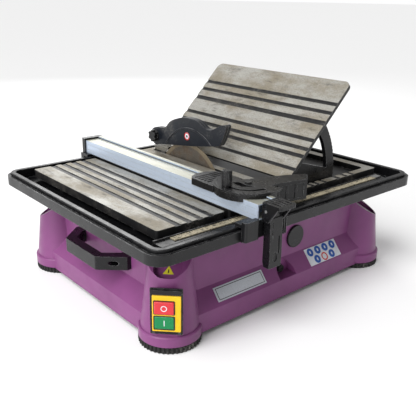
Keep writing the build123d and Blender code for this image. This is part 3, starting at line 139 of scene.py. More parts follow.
def make_edge_wear():
    """Mask of rubbed edges and corners, broken up by noise."""
    tree, given, result = start_group("rubbed_edges", [("Width", 0.001), ("Patch Scale", 60.0),
                                                       ("Cover", 0.5)], ["Mask"])
    bevel = put(tree, "ShaderNodeBevel", {"samples": 4}, {"Radius": given.outputs["Width"]})
    normal = put(tree, "ShaderNodeNewGeometry").outputs["Normal"]
    alignment = put(tree, "ShaderNodeVectorMath", {"operation": "DOT_PRODUCT"},
                    {0: bevel.outputs[0], 1: normal}).outputs["Value"]
    edge = ramp(tree, alignment, 0.985, 0.80)
    patches = noise(tree, object_coordinates(tree), given.outputs["Patch Scale"], 6.0, 0.7)
    threshold = math_node(tree, "SUBTRACT", 1.0, given.outputs["Cover"])
    over = math_node(tree, "SUBTRACT", patches, math_node(tree, "MULTIPLY", threshold, 0.7))
    worn = math_node(tree, "MULTIPLY", edge, ramp(tree, over, 0.0, 0.22))
    tree.links.new(worn, result.inputs["Mask"])
    return tree


def make_dust():
    """Mask of dried slurry: soft blotches with fine specks in them."""
    tree, given, result = start_group("dried_slurry", [("Patch Scale", 9.0), ("Speck Scale", 260.0),
                                                       ("Cover", 0.5)], ["Mask"])
    place = object_coordinates(tree)
    blotch = noise(tree, place, given.outputs["Patch Scale"], 5.0, 0.6)
    speck = noise(tree, place, given.outputs["Speck Scale"], 3.0, 0.7)
    threshold = math_node(tree, "SUBTRACT", 1.0, given.outputs["Cover"])
    soft = ramp(tree, math_node(tree, "SUBTRACT", blotch, math_node(tree, "MULTIPLY", threshold, 0.8)),
                0.0, 0.3)
    fine = ramp(tree, speck, 0.42, 0.66)
    tree.links.new(math_node(tree, "MULTIPLY", soft, fine), result.inputs["Mask"])
    return tree


def make_moulded_grain():
    """Height of the fine leathery grain of moulded plastic."""
    tree, given, result = start_group("moulded_grain", [("Scale", 900.0)], ["Height"])
    place = object_coordinates(tree)
    fine = noise(tree, place, given.outputs["Scale"], 2.0, 0.5)
    broad = noise(tree, place, 14.0, 2.0, 0.5)
    tree.links.new(math_node(tree, "ADD", fine, math_node(tree, "MULTIPLY", broad, 3.0)),
                   result.inputs["Height"])
    return tree


def make_brush_lines():
    """Height of long brush lines that run along Y."""
    tree, given, result = start_group("brush_lines", [("Scale", 1.0)], ["Height"])
    place = object_coordinates(tree, (1400, 14, 1400))
    lines = noise(tree, place, given.outputs["Scale"], 3.0, 0.65)
    tree.links.new(lines, result.inputs["Height"])
    return tree


GROUPS = {}


def group(tree, name, **values):
    node = put(tree, "ShaderNodeGroup", {"node_tree": GROUPS[name]})
    for key, value in values.items():
        node.inputs[key.replace("_", " ").title()].default_value = value
    return node.outputs[0]


def start_material(name, **shader_values):
    """A material with a Principled BSDF whose plain values are set on its own sockets."""
    material = bpy.data.materials.new(name)
    material.use_nodes = True
    tree = material.node_tree
    shader = tree.nodes["Principled BSDF"]
    for key, value in shader_values.items():
        shader.inputs[key.replace("_", " ")].default_value = value
    return material, tree, shader


def bump(tree, shader, height, depth, edge_radius):
    """Rounded-looking edges with a height on top."""
    bevel = put(tree, "ShaderNodeBevel", {"samples": 4}, {"Radius": edge_radius})
    node = put(tree, "ShaderNodeBump", None,
               {"Strength": 1.0, "Distance": depth, "Height": height, "Normal": bevel.outputs[0]})
    tree.links.new(node.outputs[0], shader.inputs["Normal"])


def shade(colour, factor):
    return (colour[0] * factor, colour[1] * factor, colour[2] * factor, 1.0)


DRIED_SLURRY = (0.42, 0.40, 0.36, 1)
WEAR_WIDTH = 0.0012
GRAIN_DEPTH = 0.00004
LINE_DEPTH = 0.00002


def plastic(name, colour, rough, worn_colour, cover=0.45, dust=0.3, edge=0.0008):
    """Moulded plastic with grain, cloudy colour, rubbed edges and a little dried slurry."""
    material, tree, shader = start_material(name, Specular_IOR_Level=0.34)
    cloud = noise(tree, object_coordinates(tree), 7.0, 4.0, 0.6)
    base = mix_colour(tree, ramp(tree, cloud, 0.3, 0.7), shade(colour, 0.88), shade(colour, 1.1))
    worn = group(tree, "rubbed_edges", width=WEAR_WIDTH, patch_scale=70.0, cover=cover)
    base = mix_colour(tree, worn, base, worn_colour)
    dusty = group(tree, "dried_slurry", patch_scale=11.0, speck_scale=300.0, cover=dust)
    base = mix_colour(tree, math_node(tree, "MULTIPLY", dusty, 0.55), base, DRIED_SLURRY)
    tree.links.new(base, shader.inputs["Base Color"])
    sheen = noise(tree, object_coordinates(tree), 33.0, 5.0, 0.6)
    roughness = ramp(tree, sheen, 0.3, 0.7, rough - 0.07, rough + 0.07)
    roughness = math_node(tree, "ADD", roughness, math_node(tree, "MULTIPLY", dusty, 0.25))
    tree.links.new(roughness, shader.inputs["Roughness"])
    bump(tree, shader, group(tree, "moulded_grain", scale=900.0), GRAIN_DEPTH, edge)
    return material


def bare_metal(name, colour, rough, dirt=(0.12, 0.10, 0.08, 1), dirt_cover=0.35, metallic=1.0):
    """Brushed or turned metal with smudges of dirt."""
    material, tree, shader = start_material(name)
    lines = group(tree, "brush_lines", scale=1.0)
    base = mix_colour(tree, ramp(tree, lines, 0.35, 0.65), shade(colour, 0.86), shade(colour, 1.12))
    smudge = group(tree, "dried_slurry", patch_scale=26.0, speck_scale=420.0, cover=dirt_cover)
    base = mix_colour(tree, math_node(tree, "MULTIPLY", smudge, 0.7), base, dirt)
    tree.links.new(base, shader.inputs["Base Color"])
    tree.links.new(math_node(tree, "ADD", ramp(tree, lines, 0.3, 0.7, rough - 0.06, rough + 0.08),
                             math_node(tree, "MULTIPLY", smudge, 0.3)), shader.inputs["Roughness"])
    tree.links.new(math_node(tree, "SUBTRACT", metallic, math_node(tree, "MULTIPLY", smudge, 0.6)),
                   shader.inputs["Metallic"])
    bump(tree, shader, lines, LINE_DEPTH, 0.0004)
    return material


def table_metal(name, normal, level, colour, black):
    """Ground plate: bare metal on its top face, black paint in the grooves and on every other face.

    normal is the top face's direction and level its distance along that direction from the origin.
    """
    material, tree, shader = start_material(name)
    raw = put(tree, "ShaderNodeTexCoord").outputs["Object"]
    height = put(tree, "ShaderNodeVectorMath", {"operation": "DOT_PRODUCT"},
                 {0: raw, 1: normal}).outputs["Value"]
    on_top = ramp(tree, height, level - 0.0005, level - 0.0002)
    alignment = put(tree, "ShaderNodeVectorMath", {"operation": "DOT_PRODUCT"},
                    {0: put(tree, "ShaderNodeNewGeometry").outputs["Normal"], 1: normal}).outputs["Value"]
    top = math_node(tree, "MULTIPLY", on_top, ramp(tree, alignment, 0.6, 0.9))
    lines = group(tree, "brush_lines", scale=1.0)
    cloud = noise(tree, object_coordinates(tree, (1, 0.45, 1)), 16.0, 7.0, 0.68)
    metal = mix_colour(tree, ramp(tree, lines, 0.3, 0.7), shade(colour, 0.88), shade(colour, 1.1))
    metal = mix_colour(tree, ramp(tree, cloud, 0.38, 0.62), metal,
                       (colour[0] * 0.62, colour[1] * 0.56, colour[2] * 0.46, 1))
    scuff = noise(tree, object_coordinates(tree, (1.0, 0.3, 1.0), (0, 0, 0.5)), 42.0, 8.0, 0.75)
    scuffs = ramp(tree, scuff, 0.53, 0.68)
    metal = mix_colour(tree, math_node(tree, "MULTIPLY", scuffs, 0.68), metal, (0.09, 0.085, 0.075, 1))
    fleck = noise(tree, object_coordinates(tree), 420.0, 4.0, 0.8)
    metal = mix_colour(tree, math_node(tree, "MULTIPLY", ramp(tree, fleck, 0.48, 0.66), 0.62), metal,
                       (0.12, 0.11, 0.095, 1))
    scratch = noise(tree, object_coordinates(tree, (26, 420, 26), (0.3, 0.2, 0.6)), 1.0, 5.0, 0.7)
    metal = mix_colour(tree, math_node(tree, "MULTIPLY", ramp(tree, scratch, 0.60, 0.72), 0.45), metal,
                       (0.75, 0.74, 0.70, 1))
    worn = group(tree, "rubbed_edges", width=WEAR_WIDTH, patch_scale=80.0, cover=0.5)
    paint = mix_colour(tree, worn, black, (0.22, 0.22, 0.22, 1))
    dusty = group(tree, "dried_slurry", patch_scale=20.0, speck_scale=300.0, cover=0.45)
    paint = mix_colour(tree, math_node(tree, "MULTIPLY", dusty, 0.5), paint, (0.25, 0.23, 0.20, 1))
    tree.links.new(mix_colour(tree, top, paint, metal), shader.inputs["Base Color"])
    rough = ramp(tree, cloud, 0.3, 0.7, 0.42, 0.56)
    rough = math_node(tree, "ADD", rough, math_node(tree, "MULTIPLY", scuffs, 0.2))
    blend = put(tree, "ShaderNodeMix", {"data_type": "FLOAT"}, {0: top, 2: 0.45, 3: rough})
    tree.links.new(blend.outputs[0], shader.inputs["Roughness"])
    tree.links.new(math_node(tree, "MULTIPLY", top, 0.50), shader.inputs["Metallic"])
    bump(tree, shader, lines, LINE_DEPTH, 0.0005)
    return material


def extrusion(name, side_colour, top_colour):
    """Anodised extrusion: cool sides and a warmer top, coloured by which way each face points, and drawing
    lines along its length.
    """
    material, tree, shader = start_material(name)
    normal = put(tree, "ShaderNodeNewGeometry").outputs["Normal"]
    upward = put(tree, "ShaderNodeSeparateXYZ", None, {0: normal}).outputs["Z"]
    lines = group(tree, "brush_lines", scale=0.6)
    # cool colour on faces that point sideways, warmer colour on faces that point up
    base = mix_colour(tree, ramp(tree, upward, 0.3, 0.8), (*side_colour, 1), (*top_colour, 1))
    base = mix_colour(tree, math_node(tree, "MULTIPLY", ramp(tree, lines, 0.5, 0.75), 0.35), base,
                      (0.30, 0.31, 0.31, 1))
    smudge = group(tree, "dried_slurry", patch_scale=30.0, speck_scale=420.0, cover=0.34)
    base = mix_colour(tree, math_node(tree, "MULTIPLY", smudge, 0.6), base, (0.22, 0.21, 0.18, 1))
    tree.links.new(base, shader.inputs["Base Color"])
    tree.links.new(ramp(tree, lines, 0.3, 0.7, 0.34, 0.5), shader.inputs["Roughness"])
    tree.links.new(ramp(tree, smudge, 0.0, 1.0, 0.45, 0.1), shader.inputs["Metallic"])
    bump(tree, shader, lines, LINE_DEPTH, 0.0004)
    return material


def blade_metal(name, colour):
    """Sawblade steel: turned rings round the arbor, a rusty brown film and a paler rim."""
    material, tree, shader = start_material(name)
    raw = put(tree, "ShaderNodeTexCoord").outputs["Object"]
    local = put(tree, "ShaderNodeVectorMath", {"operation": "SUBTRACT"}, {0: raw, 1: BLADE_CENTRE}).outputs[0]
    flat = put(tree, "ShaderNodeVectorMath", {"operation": "MULTIPLY"}, {0: local, 1: (0, 1, 1)}).outputs[0]
    away = put(tree, "ShaderNodeVectorMath", {"operation": "LENGTH"}, {0: flat}).outputs["Value"]
    rings = put(tree, "ShaderNodeTexNoise", {"noise_dimensions": "1D"},
                {"W": away, "Scale": 900.0, "Detail": 3.0}).outputs[0]
    film = noise(tree, object_coordinates(tree), 38.0, 7.0, 0.7)
    base = mix_colour(tree, ramp(tree, rings, 0.35, 0.65), shade(colour, 0.75), shade(colour, 1.25))
    base = mix_colour(tree, ramp(tree, film, 0.40, 0.68), base, (0.13, 0.085, 0.05, 1))
    rim = ramp(tree, away, BLADE_RADIUS - 0.0095, BLADE_RADIUS - 0.0075)
    base = mix_colour(tree, math_node(tree, "MULTIPLY", rim, 0.6), base, (0.34, 0.28, 0.19, 1))
    tree.links.new(base, shader.inputs["Base Color"])
    tree.links.new(ramp(tree, film, 0.3, 0.7, 0.35, 0.62), shader.inputs["Roughness"])
    tree.links.new(ramp(tree, film, 0.3, 0.7, 0.9, 0.45), shader.inputs["Metallic"])
    bump(tree, shader, rings, LINE_DEPTH, 0.0003)
    return material


def rule_scale(name, colour):
    """Worn printed scale on its strip."""
    material, tree, shader = start_material(name, Specular_IOR_Level=0.3)
    place = object_coordinates(tree)
    worn = noise(tree, place, 210.0, 6.0, 0.75)
    cloud = noise(tree, place, 18.0, 4.0, 0.6)
    base = mix_colour(tree, ramp(tree, cloud, 0.3, 0.7), shade(colour, 0.75), shade(colour, 1.15))
    base = mix_colour(tree, ramp(tree, worn, 0.50, 0.62), base, (0.05, 0.045, 0.04, 1))
    tree.links.new(base, shader.inputs["Base Color"])
    tree.links.new(ramp(tree, worn, 0.4, 0.7, 0.55, 0.8), shader.inputs["Roughness"])
    bump(tree, shader, worn, 0.0001, 0.0003)
    return material


def printed(name, colour, rough=0.42):
    """Thin printed film, a little yellowed and scuffed."""
    material, tree, shader = start_material(name, Specular_IOR_Level=0.4)
    cloud = noise(tree, object_coordinates(tree), 60.0, 5.0, 0.65)
    base = mix_colour(tree, ramp(tree, cloud, 0.3, 0.75), shade(colour, 1.05), shade(colour, 0.85))
    tree.links.new(base, shader.inputs["Base Color"])
    tree.links.new(ramp(tree, cloud, 0.3, 0.7, rough - 0.08, rough + 0.1), shader.inputs["Roughness"])
    fine = noise(tree, object_coordinates(tree), 700.0, 2.0, 0.5)
    node = put(tree, "ShaderNodeBump", None, {"Strength": 1.0, "Distance": 0.00002, "Height": fine})
    tree.links.new(node.outputs[0], shader.inputs["Normal"])
    return material


def make_finishes(look):
    """Every material of the saw, by the slot of the record or by the node that needs its own."""
    GROUPS["rubbed_edges"] = make_edge_wear()
    GROUPS["dried_slurry"] = make_dust()
    GROUPS["moulded_grain"] = make_moulded_grain()
    GROUPS["brush_lines"] = make_brush_lines()
    body = tuple(look.body_colour)
    dark = tuple(look.trim_colour)
    plate = tuple(look.table_colour)
    black = (*dark, 1.0)
    paler = (body[0] * 1.25, body[1] * 1.9, body[2] * 1.3, 1)
    grey = (0.22, 0.22, 0.225, 1.0)
    made = {
        "purple_plastic": plastic("purple_moulding", body, 0.38, paler, 0.35, 0.18, edge=0.0014),
        "black_plastic": plastic("black_moulding", dark, 0.30, grey, 0.46, 0.26),
        "handle_and_switch_screws": bare_metal("blacked_screws", (0.08, 0.08, 0.08), 0.45, metallic=0.8),
        "gauge_pivot_screw": bare_metal("blacked_pivot", (0.07, 0.07, 0.07), 0.45, metallic=0.8),
        "guard_plastic": plastic("guard_moulding", (0.009, 0.011, 0.016), 0.36, grey, 0.5, 0.40, edge=0.0015),
        "black_rubber": plastic("black_rubber", (0.012, 0.012, 0.012), 0.72, (0.07, 0.07, 0.07, 1), 0.4, 0.4),
        "zinc_steel": bare_metal("zinc_screws", (0.52, 0.52, 0.50), 0.36),
        "grey_metal": bare_metal("grey_pressing", (0.32, 0.32, 0.31), 0.45, metallic=0.8),
        "bright_steel": bare_metal("bright_steel", (0.62, 0.61, 0.58), 0.28, dirt_cover=0.45),
        "cast_aluminium": bare_metal("cast_aluminium", (0.48, 0.48, 0.49), 0.5, metallic=0.9),
        "lamination_steel": bare_metal("laminations", (0.20, 0.20, 0.21), 0.5, metallic=0.8),
        "bearing_chrome": bare_metal("bearing_rings", (0.70, 0.70, 0.72), 0.16, dirt_cover=0.2),
        "copper_wire": bare_metal("enamelled_wire", (0.62, 0.26, 0.10), 0.32, dirt_cover=0.2),
        "fence_aluminium": extrusion("anodised_extrusion", (0.52, 0.60, 0.72), (0.52, 0.52, 0.44)),
        "plate_aluminium": bare_metal("blank_plate", (0.62, 0.65, 0.70), 0.38, (0.25, 0.25, 0.25, 1), 0.3,
                                      metallic=0.6),
        "motor_paint": plastic("motor_enamel", (0.05, 0.055, 0.06), 0.4, (0.2, 0.2, 0.2, 1)),
        "capacitor_case": plastic("capacitor_case", (0.35, 0.35, 0.34), 0.3, (0.5, 0.5, 0.5, 1)),
        "yellow_plastic": plastic("yellow_moulding", (0.80, 0.50, 0.01), 0.33, (0.8, 0.62, 0.2, 1), 0.4, 0.25,
                                  edge=0.0006),
        "red_plastic": plastic("red_button", (0.62, 0.035, 0.045), 0.28, (0.8, 0.3, 0.28, 1), 0.4, 0.2),
        "green_plastic": plastic("green_button", (0.005, 0.22, 0.07), 0.28, (0.2, 0.45, 0.3, 1), 0.4, 0.2),
        "rule_plastic": rule_scale("printed_rule", (0.42, 0.37, 0.26)),
        "table_metal": table_metal("ground_plate", tuple(UP), TABLE_TOP, plate, black),
        "blade_steel": blade_metal("blade_disc", (0.20, 0.18, 0.155)),
        "diamond_grit": blade_metal("blade_rim", (0.30, 0.26, 0.20)),
    }
    tilted_up = Vector((-math.sin(TILT_ANGLE), 0, math.cos(TILT_ANGLE)))
    tilted_level = tilted_up.dot(TILT_PIVOT) + TILT_TOP_DROP
    made["tilt_table"] = table_metal("tilting_plate", tuple(tilted_up), tilted_level, plate, black)
    made["sticker_white"] = printed("sticker_card", (0.72, 0.75, 0.80))
    made["sticker_blue"] = printed("sticker_blue", (0.02, 0.10, 0.42))
    made["sticker_red"] = printed("sticker_red", (0.60, 0.02, 0.02))
    made["sticker_yellow"] = printed("sticker_yellow", (0.70, 0.62, 0.04))
    made["sticker_black"] = printed("sticker_black", (0.02, 0.02, 0.02))
    return made


FINISH = {}


# ------------------------------------------------------------------ mesh helpers
def object_from(name, bm, material):
    """A piece with this mesh and finish, its faces turned outwards."""
    bmesh.ops.recalc_face_normals(bm, faces=bm.faces)
    mesh = bpy.data.meshes.new(name)
    bm.to_mesh(mesh)
    bm.free()
    piece = bpy.data.objects.new(name, mesh)
    bpy.context.scene.collection.objects.link(piece)
    piece.data.materials.append(FINISH[material])
    return piece


def prism(bm, outline, thickness, place):
    """Adds a flat plate with this outline to bm, standing up from the plane of place."""
    low = [bm.verts.new(place @ Vector((x, y, 0))) for x, y in outline]
    high = [bm.verts.new(place @ Vector((x, y, thickness))) for x, y in outline]
    bm.faces.new(list(reversed(low)))
    bm.faces.new(high)
    count = len(outline)
    for i in range(count):
        j = (i + 1) % count
        bm.faces.new((low[i], low[j], high[j], high[i]))


def circle(radius, count=40):
    return [(radius * math.cos(math.tau * i / count), radius * math.sin(math.tau * i / count))
            for i in range(count)]


def rounded(width, height, radius, count=5):
    """Outline of a rectangle with rounded corners."""
    points = []
    for corner, (sx, sy) in enumerate(((1, 1), (-1, 1), (-1, -1), (1, -1))):
        for i in range(count + 1):
            angle = math.radians(90 * corner + 90 * i / count)
            points.append((sx * (width / 2 - radius) + radius * math.cos(angle),
                           sy * (height / 2 - radius) + radius * math.sin(angle)))
    return points


def band(bm, outer, inner, thickness, place):
    """Adds the flat band between two outlines of as many points."""
    loops = []
    for outline, z in ((outer, 0), (outer, thickness), (inner, thickness), (inner, 0)):
        loops.append([bm.verts.new(place @ Vector((x, y, z))) for x, y in outline])
    for a, b in zip(loops, loops[1:] + loops[:1]):
        for i in range(len(outer)):
            j = (i + 1) % len(outer)
            bm.faces.new((a[i], a[j], b[j], b[i]))


def ring(bm, outer, inner, thickness, place, count=48):
    """Adds a flat ring to bm."""
    band(bm, circle(outer, count), circle(inner, count), thickness, place)


def facing(origin, normal):
    """A frame whose Z is normal and whose Y is as near to straight up as it can be."""
    z = Vector(normal).normalized()
    x = UP.cross(z).normalized()
    y = z.cross(x)
    place = Matrix((x, y, z)).transposed().to_4x4()
    place.translation = Vector(origin)
    return place


def shift(place, x, y, z=0.0):
    return place @ Matrix.Translation(Vector((x, y, z)))


# ------------------------------------------------------------------ geometry nodes
def start_geometry(name, inputs):
    """A Geometry Nodes tree with named inputs, whose geometry socket comes last."""
    tree = bpy.data.node_groups.new(name, "GeometryNodeTree")
    for socket, kind, default in inputs:
        made = tree.interface.new_socket(socket, in_out="INPUT", socket_type=kind)
        if default is not None:
            made.default_value = default
    tree.interface.new_socket("Geometry", in_out="OUTPUT", socket_type="NodeSocketGeometry")
    return tree, tree.nodes.new("NodeGroupInput"), tree.nodes.new("NodeGroupOutput")


def run_geometry(name, tree, values, material):
    """Evaluates the tree once and returns its result as a plain mesh object at the origin."""
    host = bpy.data.objects.new(name + "_host", bpy.data.meshes.new(name + "_host"))
    bpy.context.scene.collection.objects.link(host)
    modifier = host.modifiers.new("shape", "NODES")
    modifier.node_group = tree
    for item in tree.interface.items_tree:
        if item.item_type == "SOCKET" and item.in_out == "INPUT" and item.name in values:
            modifier[item.identifier] = values[item.name]
    bpy.context.view_layer.update()
    depsgraph = bpy.context.evaluated_depsgraph_get()
    mesh = bpy.data.meshes.new_from_object(host.evaluated_get(depsgraph))
    bpy.data.objects.remove(host)
    mesh.name = name
    mesh.materials.clear()
    mesh.materials.append(FINISH[material])
    piece = bpy.data.objects.new(name, mesh)
    bpy.context.scene.collection.objects.link(piece)
    return piece


def make_rib_tree():
    """Upright ribs round a circle, one such circle at each point of a rectangle."""
    tree, given, result = start_geometry("foot_rib_rings", [
        ("Ribs", "NodeSocketInt", 40), ("Radius", "NodeSocketFloat", 0.0485),
        ("Rib Radius", "NodeSocketFloat", 0.0024), ("Rib Height", "NodeSocketFloat", 0.009),
        ("Span X", "NodeSocketFloat", 0.4), ("Span Y", "NodeSocketFloat", 0.3),
        ("Centre", "NodeSocketVector", (0, 0, 0)), ("Material", "NodeSocketMaterial", None)])
    ring_line = put(tree, "GeometryNodeMeshCircle", None,
                    {"Vertices": given.outputs["Ribs"], "Radius": given.outputs["Radius"]})
    rib = put(tree, "GeometryNodeMeshCylinder", None,
              {"Vertices": 10, "Radius": given.outputs["Rib Radius"], "Depth": given.outputs["Rib Height"]})
    ribs = put(tree, "GeometryNodeInstanceOnPoints", None,
               {"Points": ring_line.outputs[0], "Instance": rib.outputs["Mesh"]})
    grid = put(tree, "GeometryNodeMeshGrid", None,
               {"Size X": given.outputs["Span X"], "Size Y": given.outputs["Span Y"],
                "Vertices X": 2, "Vertices Y": 2})
    feet = put(tree, "GeometryNodeInstanceOnPoints", None,
               {"Points": grid.outputs["Mesh"], "Instance": ribs.outputs[0]})
    moved = put(tree, "GeometryNodeTransform", None,
                {"Geometry": feet.outputs[0], "Translation": given.outputs["Centre"]})
    real = put(tree, "GeometryNodeRealizeInstances", None, {"Geometry": moved.outputs[0]})
    finish = put(tree, "GeometryNodeSetMaterial", None,
                 {"Geometry": real.outputs[0], "Material": given.outputs["Material"]})
    tree.links.new(finish.outputs[0], result.inputs[0])
    return tree


def make_tick_tree():
    """A row of equal marks along X."""
    tree, given, result = start_geometry("rule_marks", [
        ("Marks", "NodeSocketInt", 50), ("Pitch", "NodeSocketFloat", 0.01),
        ("Size", "NodeSocketVector", (0.0006, 0.006, 0.0002)),
        ("Start", "NodeSocketVector", (0, 0, 0)), ("Material", "NodeSocketMaterial", None)])
    step = put(tree, "ShaderNodeCombineXYZ", None, {"X": given.outputs["Pitch"]})
    row = put(tree, "GeometryNodeMeshLine", {"mode": "OFFSET"},
              {"Count": given.outputs["Marks"], "Start Location": given.outputs["Start"],
               "Offset": step.outputs[0]})
    mark = put(tree, "GeometryNodeMeshCube", None, {"Size": given.outputs["Size"]})
    marks = put(tree, "GeometryNodeInstanceOnPoints", None,
                {"Points": row.outputs[0], "Instance": mark.outputs[0]})
    real = put(tree, "GeometryNodeRealizeInstances", None, {"Geometry": marks.outputs[0]})
    finish = put(tree, "GeometryNodeSetMaterial", None,
                 {"Geometry": real.outputs[0], "Material": given.outputs["Material"]})
    tree.links.new(finish.outputs[0], result.inputs[0])
    return tree


# ------------------------------------------------------------------ properties
class SawLook(bpy.types.PropertyGroup):
    """Colours of the saw's main finishes."""
    body_colour: bpy.props.FloatVectorProperty(
        name="Body", description="Colour of the base moulding", subtype="COLOR", size=3,
        default=(0.198, 0.054, 0.171), min=0, max=1)
    trim_colour: bpy.props.FloatVectorProperty(
        name="Trim", description="Colour of the tray, handles and clamps", subtype="COLOR", size=3,
        default=(0.0058, 0.0058, 0.0066), min=0, max=1)
    table_colour: bpy.props.FloatVectorProperty(
        name="Tables", description="Colour of the ground table plates", subtype="COLOR", size=3,
        default=(0.43, 0.42, 0.385), min=0, max=1)


def size_property(name, description, default):
    return bpy.props.FloatProperty(name=name, description=description, default=default, unit="LENGTH")


class SawSizes(bpy.types.PropertyGroup):
    """Sizes of the small fittings."""
    foot_ribs: bpy.props.IntProperty(
        name="Ribs on a Foot", description="Upright ribs round each rubber foot", default=44, min=12, max=90)
    foot_radius: size_property("Foot Radius", "Radius of a rubber foot", 0.049)
    rib_radius: size_property("Rib Radius", "Radius of one rib of a foot", 0.0024)
    rib_height: size_property("Rib Height", "Height of one rib of a foot", 0.0098)
    rib_middle: size_property("Rib Middle", "Level of the ribs' middle above the ground", 0.0058)
    mark_pitch: size_property("Mark Pitch", "Distance between the marks of the rule", 0.005)
    mark_width: size_property("Mark Width", "Width of one mark of the rule", 0.0007)
    mark_thickness: size_property("Mark Thickness", "Thickness of one mark of the rule", 0.0003)
    mark_inset: size_property("Mark Inset", "From the rule's back edge to the marks", 0.0005)
    mark_margin: size_property("Mark Margin", "Bare length at each end of the rule", 0.005)
    short_mark: size_property("Short Mark", "Length of the rule's short marks", 0.0035)
    long_mark: size_property("Long Mark", "Length of the rule's long marks", 0.0065)
    film: size_property("Film", "Thickness of a printed film", 0.00025)
    card_x: size_property("Card Place", "Where the safety card's middle lies along X", 0.1105)
    card_width: size_property("Card Width", "Width of the safety card", 0.090)
    card_height: size_property("Card Height", "Height of the safety card", 0.034)
    disc_radius: size_property("Disc Radius", "Radius of a disc on the safety card", 0.008)
    row_offset: size_property("Row Offset", "From the card's middle to each row of discs", 0.0082)
    plate_x: size_property("Plate Place", "Where the blank plate's middle lies along X", -0.1085)
    border_width: size_property("Border Width", "Width of the blank plate's border lines", 0.0011)
    surround: size_property("Surround", "Width of the dark frame round a button", 0.0016)


# ------------------------------------------------------------------ operators
class SAW_OT_finishes(bpy.types.Operator):
    """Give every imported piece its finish"""
    bl_idname = "saw.finishes"
    bl_label = "Saw Finishes"

    def execute(self, context):
        FINISH.update(make_finishes(context.scene.saw_look))
        slots = {part["node"]: part["material_slot"] for part in frame["record"]["subparts"]}
        for name, piece in frame["nodes"].items():
            material = FINISH.get(name) or FINISH[slots[name]]
            if not piece.material_slots:
                piece.data.materials.append(material)
            for slot in piece.material_slots:
                slot.material = material
        return {"FINISHED"}


class SAW_OT_foot_ribs(bpy.types.Operator):
    """Ribs round the rubber feet"""
    bl_idname = "saw.foot_ribs"
    bl_label = "Foot Ribs"

    def execute(self, context):
        sizes = context.scene.saw_sizes
        low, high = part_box("rubber_feet")
        middle = (low + high) / 2
        piece = run_geometry("foot_ribs", make_rib_tree(), {
            "Ribs": sizes.foot_ribs, "Radius": sizes.foot_radius, "Rib Radius": sizes.rib_radius,
            "Rib Height": sizes.rib_height, "Span X": high.x - low.x - 2 * sizes.foot_radius,
            "Span Y": high.y - low.y - 2 * sizes.foot_radius,
            "Centre": (middle.x, middle.y, sizes.rib_middle),
            "Material": FINISH["black_rubber"]}, "black_rubber")
        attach(piece, "saw")
        return {"FINISHED"}


class SAW_OT_rule_marks(bpy.types.Operator):
    """Marks along the front rule"""
    bl_idname = "saw.rule_marks"
    bl_label = "Rule Marks"

    def execute(self, context):
        sizes = context.scene.saw_sizes
        low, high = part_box("front_rule")
        span = high.x - low.x - 2 * sizes.mark_margin
        tree = make_tick_tree()
        for name, every, length in (("rule_short_marks", 1, sizes.short_mark),
                                    ("rule_long_marks", 5, sizes.long_mark)):
            pitch = sizes.mark_pitch * every
            piece = run_geometry(name, tree, {
                "Marks": int(span / pitch) + 1, "Pitch": pitch,
                "Size": (sizes.mark_width, length, sizes.mark_thickness),
                "Start": (low.x + sizes.mark_margin, high.y - sizes.mark_inset - length / 2,
                          high.z + 0.00005),
                "Material": FINISH["sticker_black"]}, "sticker_black")
            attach(piece, "saw")
        return {"FINISHED"}


class SAW_OT_button_marks(bpy.types.Operator):
    """White ring and bar on the two push buttons, and the dark frames round them"""
    bl_idname = "saw.button_marks"
    bl_label = "Button Marks"

    def front_of(self, node, level_node):
        """A frame at the middle of a button, as far out as level_node reaches."""
        reach = max(v.co.dot(SWITCH_NORMAL) for v in frame["nodes"][level_node].data.vertices)
        low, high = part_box(node)
        middle = (low + high) / 2
        return facing(middle + SWITCH_NORMAL * (reach - middle.dot(SWITCH_NORMAL)), SWITCH_NORMAL)

    def add_mark(self, node, body, mark, film):
        place = self.front_of(node, node)
        bm = bmesh.new()
        if mark == "ring":
            ring(bm, 0.0048, 0.0036, film, place)
        else:
            prism(bm, rounded(0.0013, 0.0095, 0.0005), film, place)
        piece = object_from(f"{node}_{mark}", bm, "sticker_white")
        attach(piece, body)

    def add_surround(self, node, sizes):
        place = self.front_of(node, "switch_bezel")
        across = place.to_3x3() @ Vector((1, 0, 0))
        along = [v.co.dot(across) for v in frame["nodes"][node].data.vertices]
        low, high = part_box(node)
        width, height = max(along) - min(along), high.z - low.z
        growth = 2 * sizes.surround
        gap = 0.0002
        bm = bmesh.new()
        band(bm, rounded(width + growth, height + growth, 0.0018),
             rounded(width + gap, height + gap, 0.0008), sizes.film, place)
        piece = object_from(f"{node}_surround", bm, "sticker_black")
        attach(piece, "saw")

    def execute(self, context):
        sizes = context.scene.saw_sizes
        for node, body, mark in (("stop_button", "stop_switch", "ring"),
                                 ("start_button", "start_switch", "bar")):
            self.add_mark(node, body, mark, sizes.film)
            self.add_surround(node, sizes)
        return {"FINISHED"}


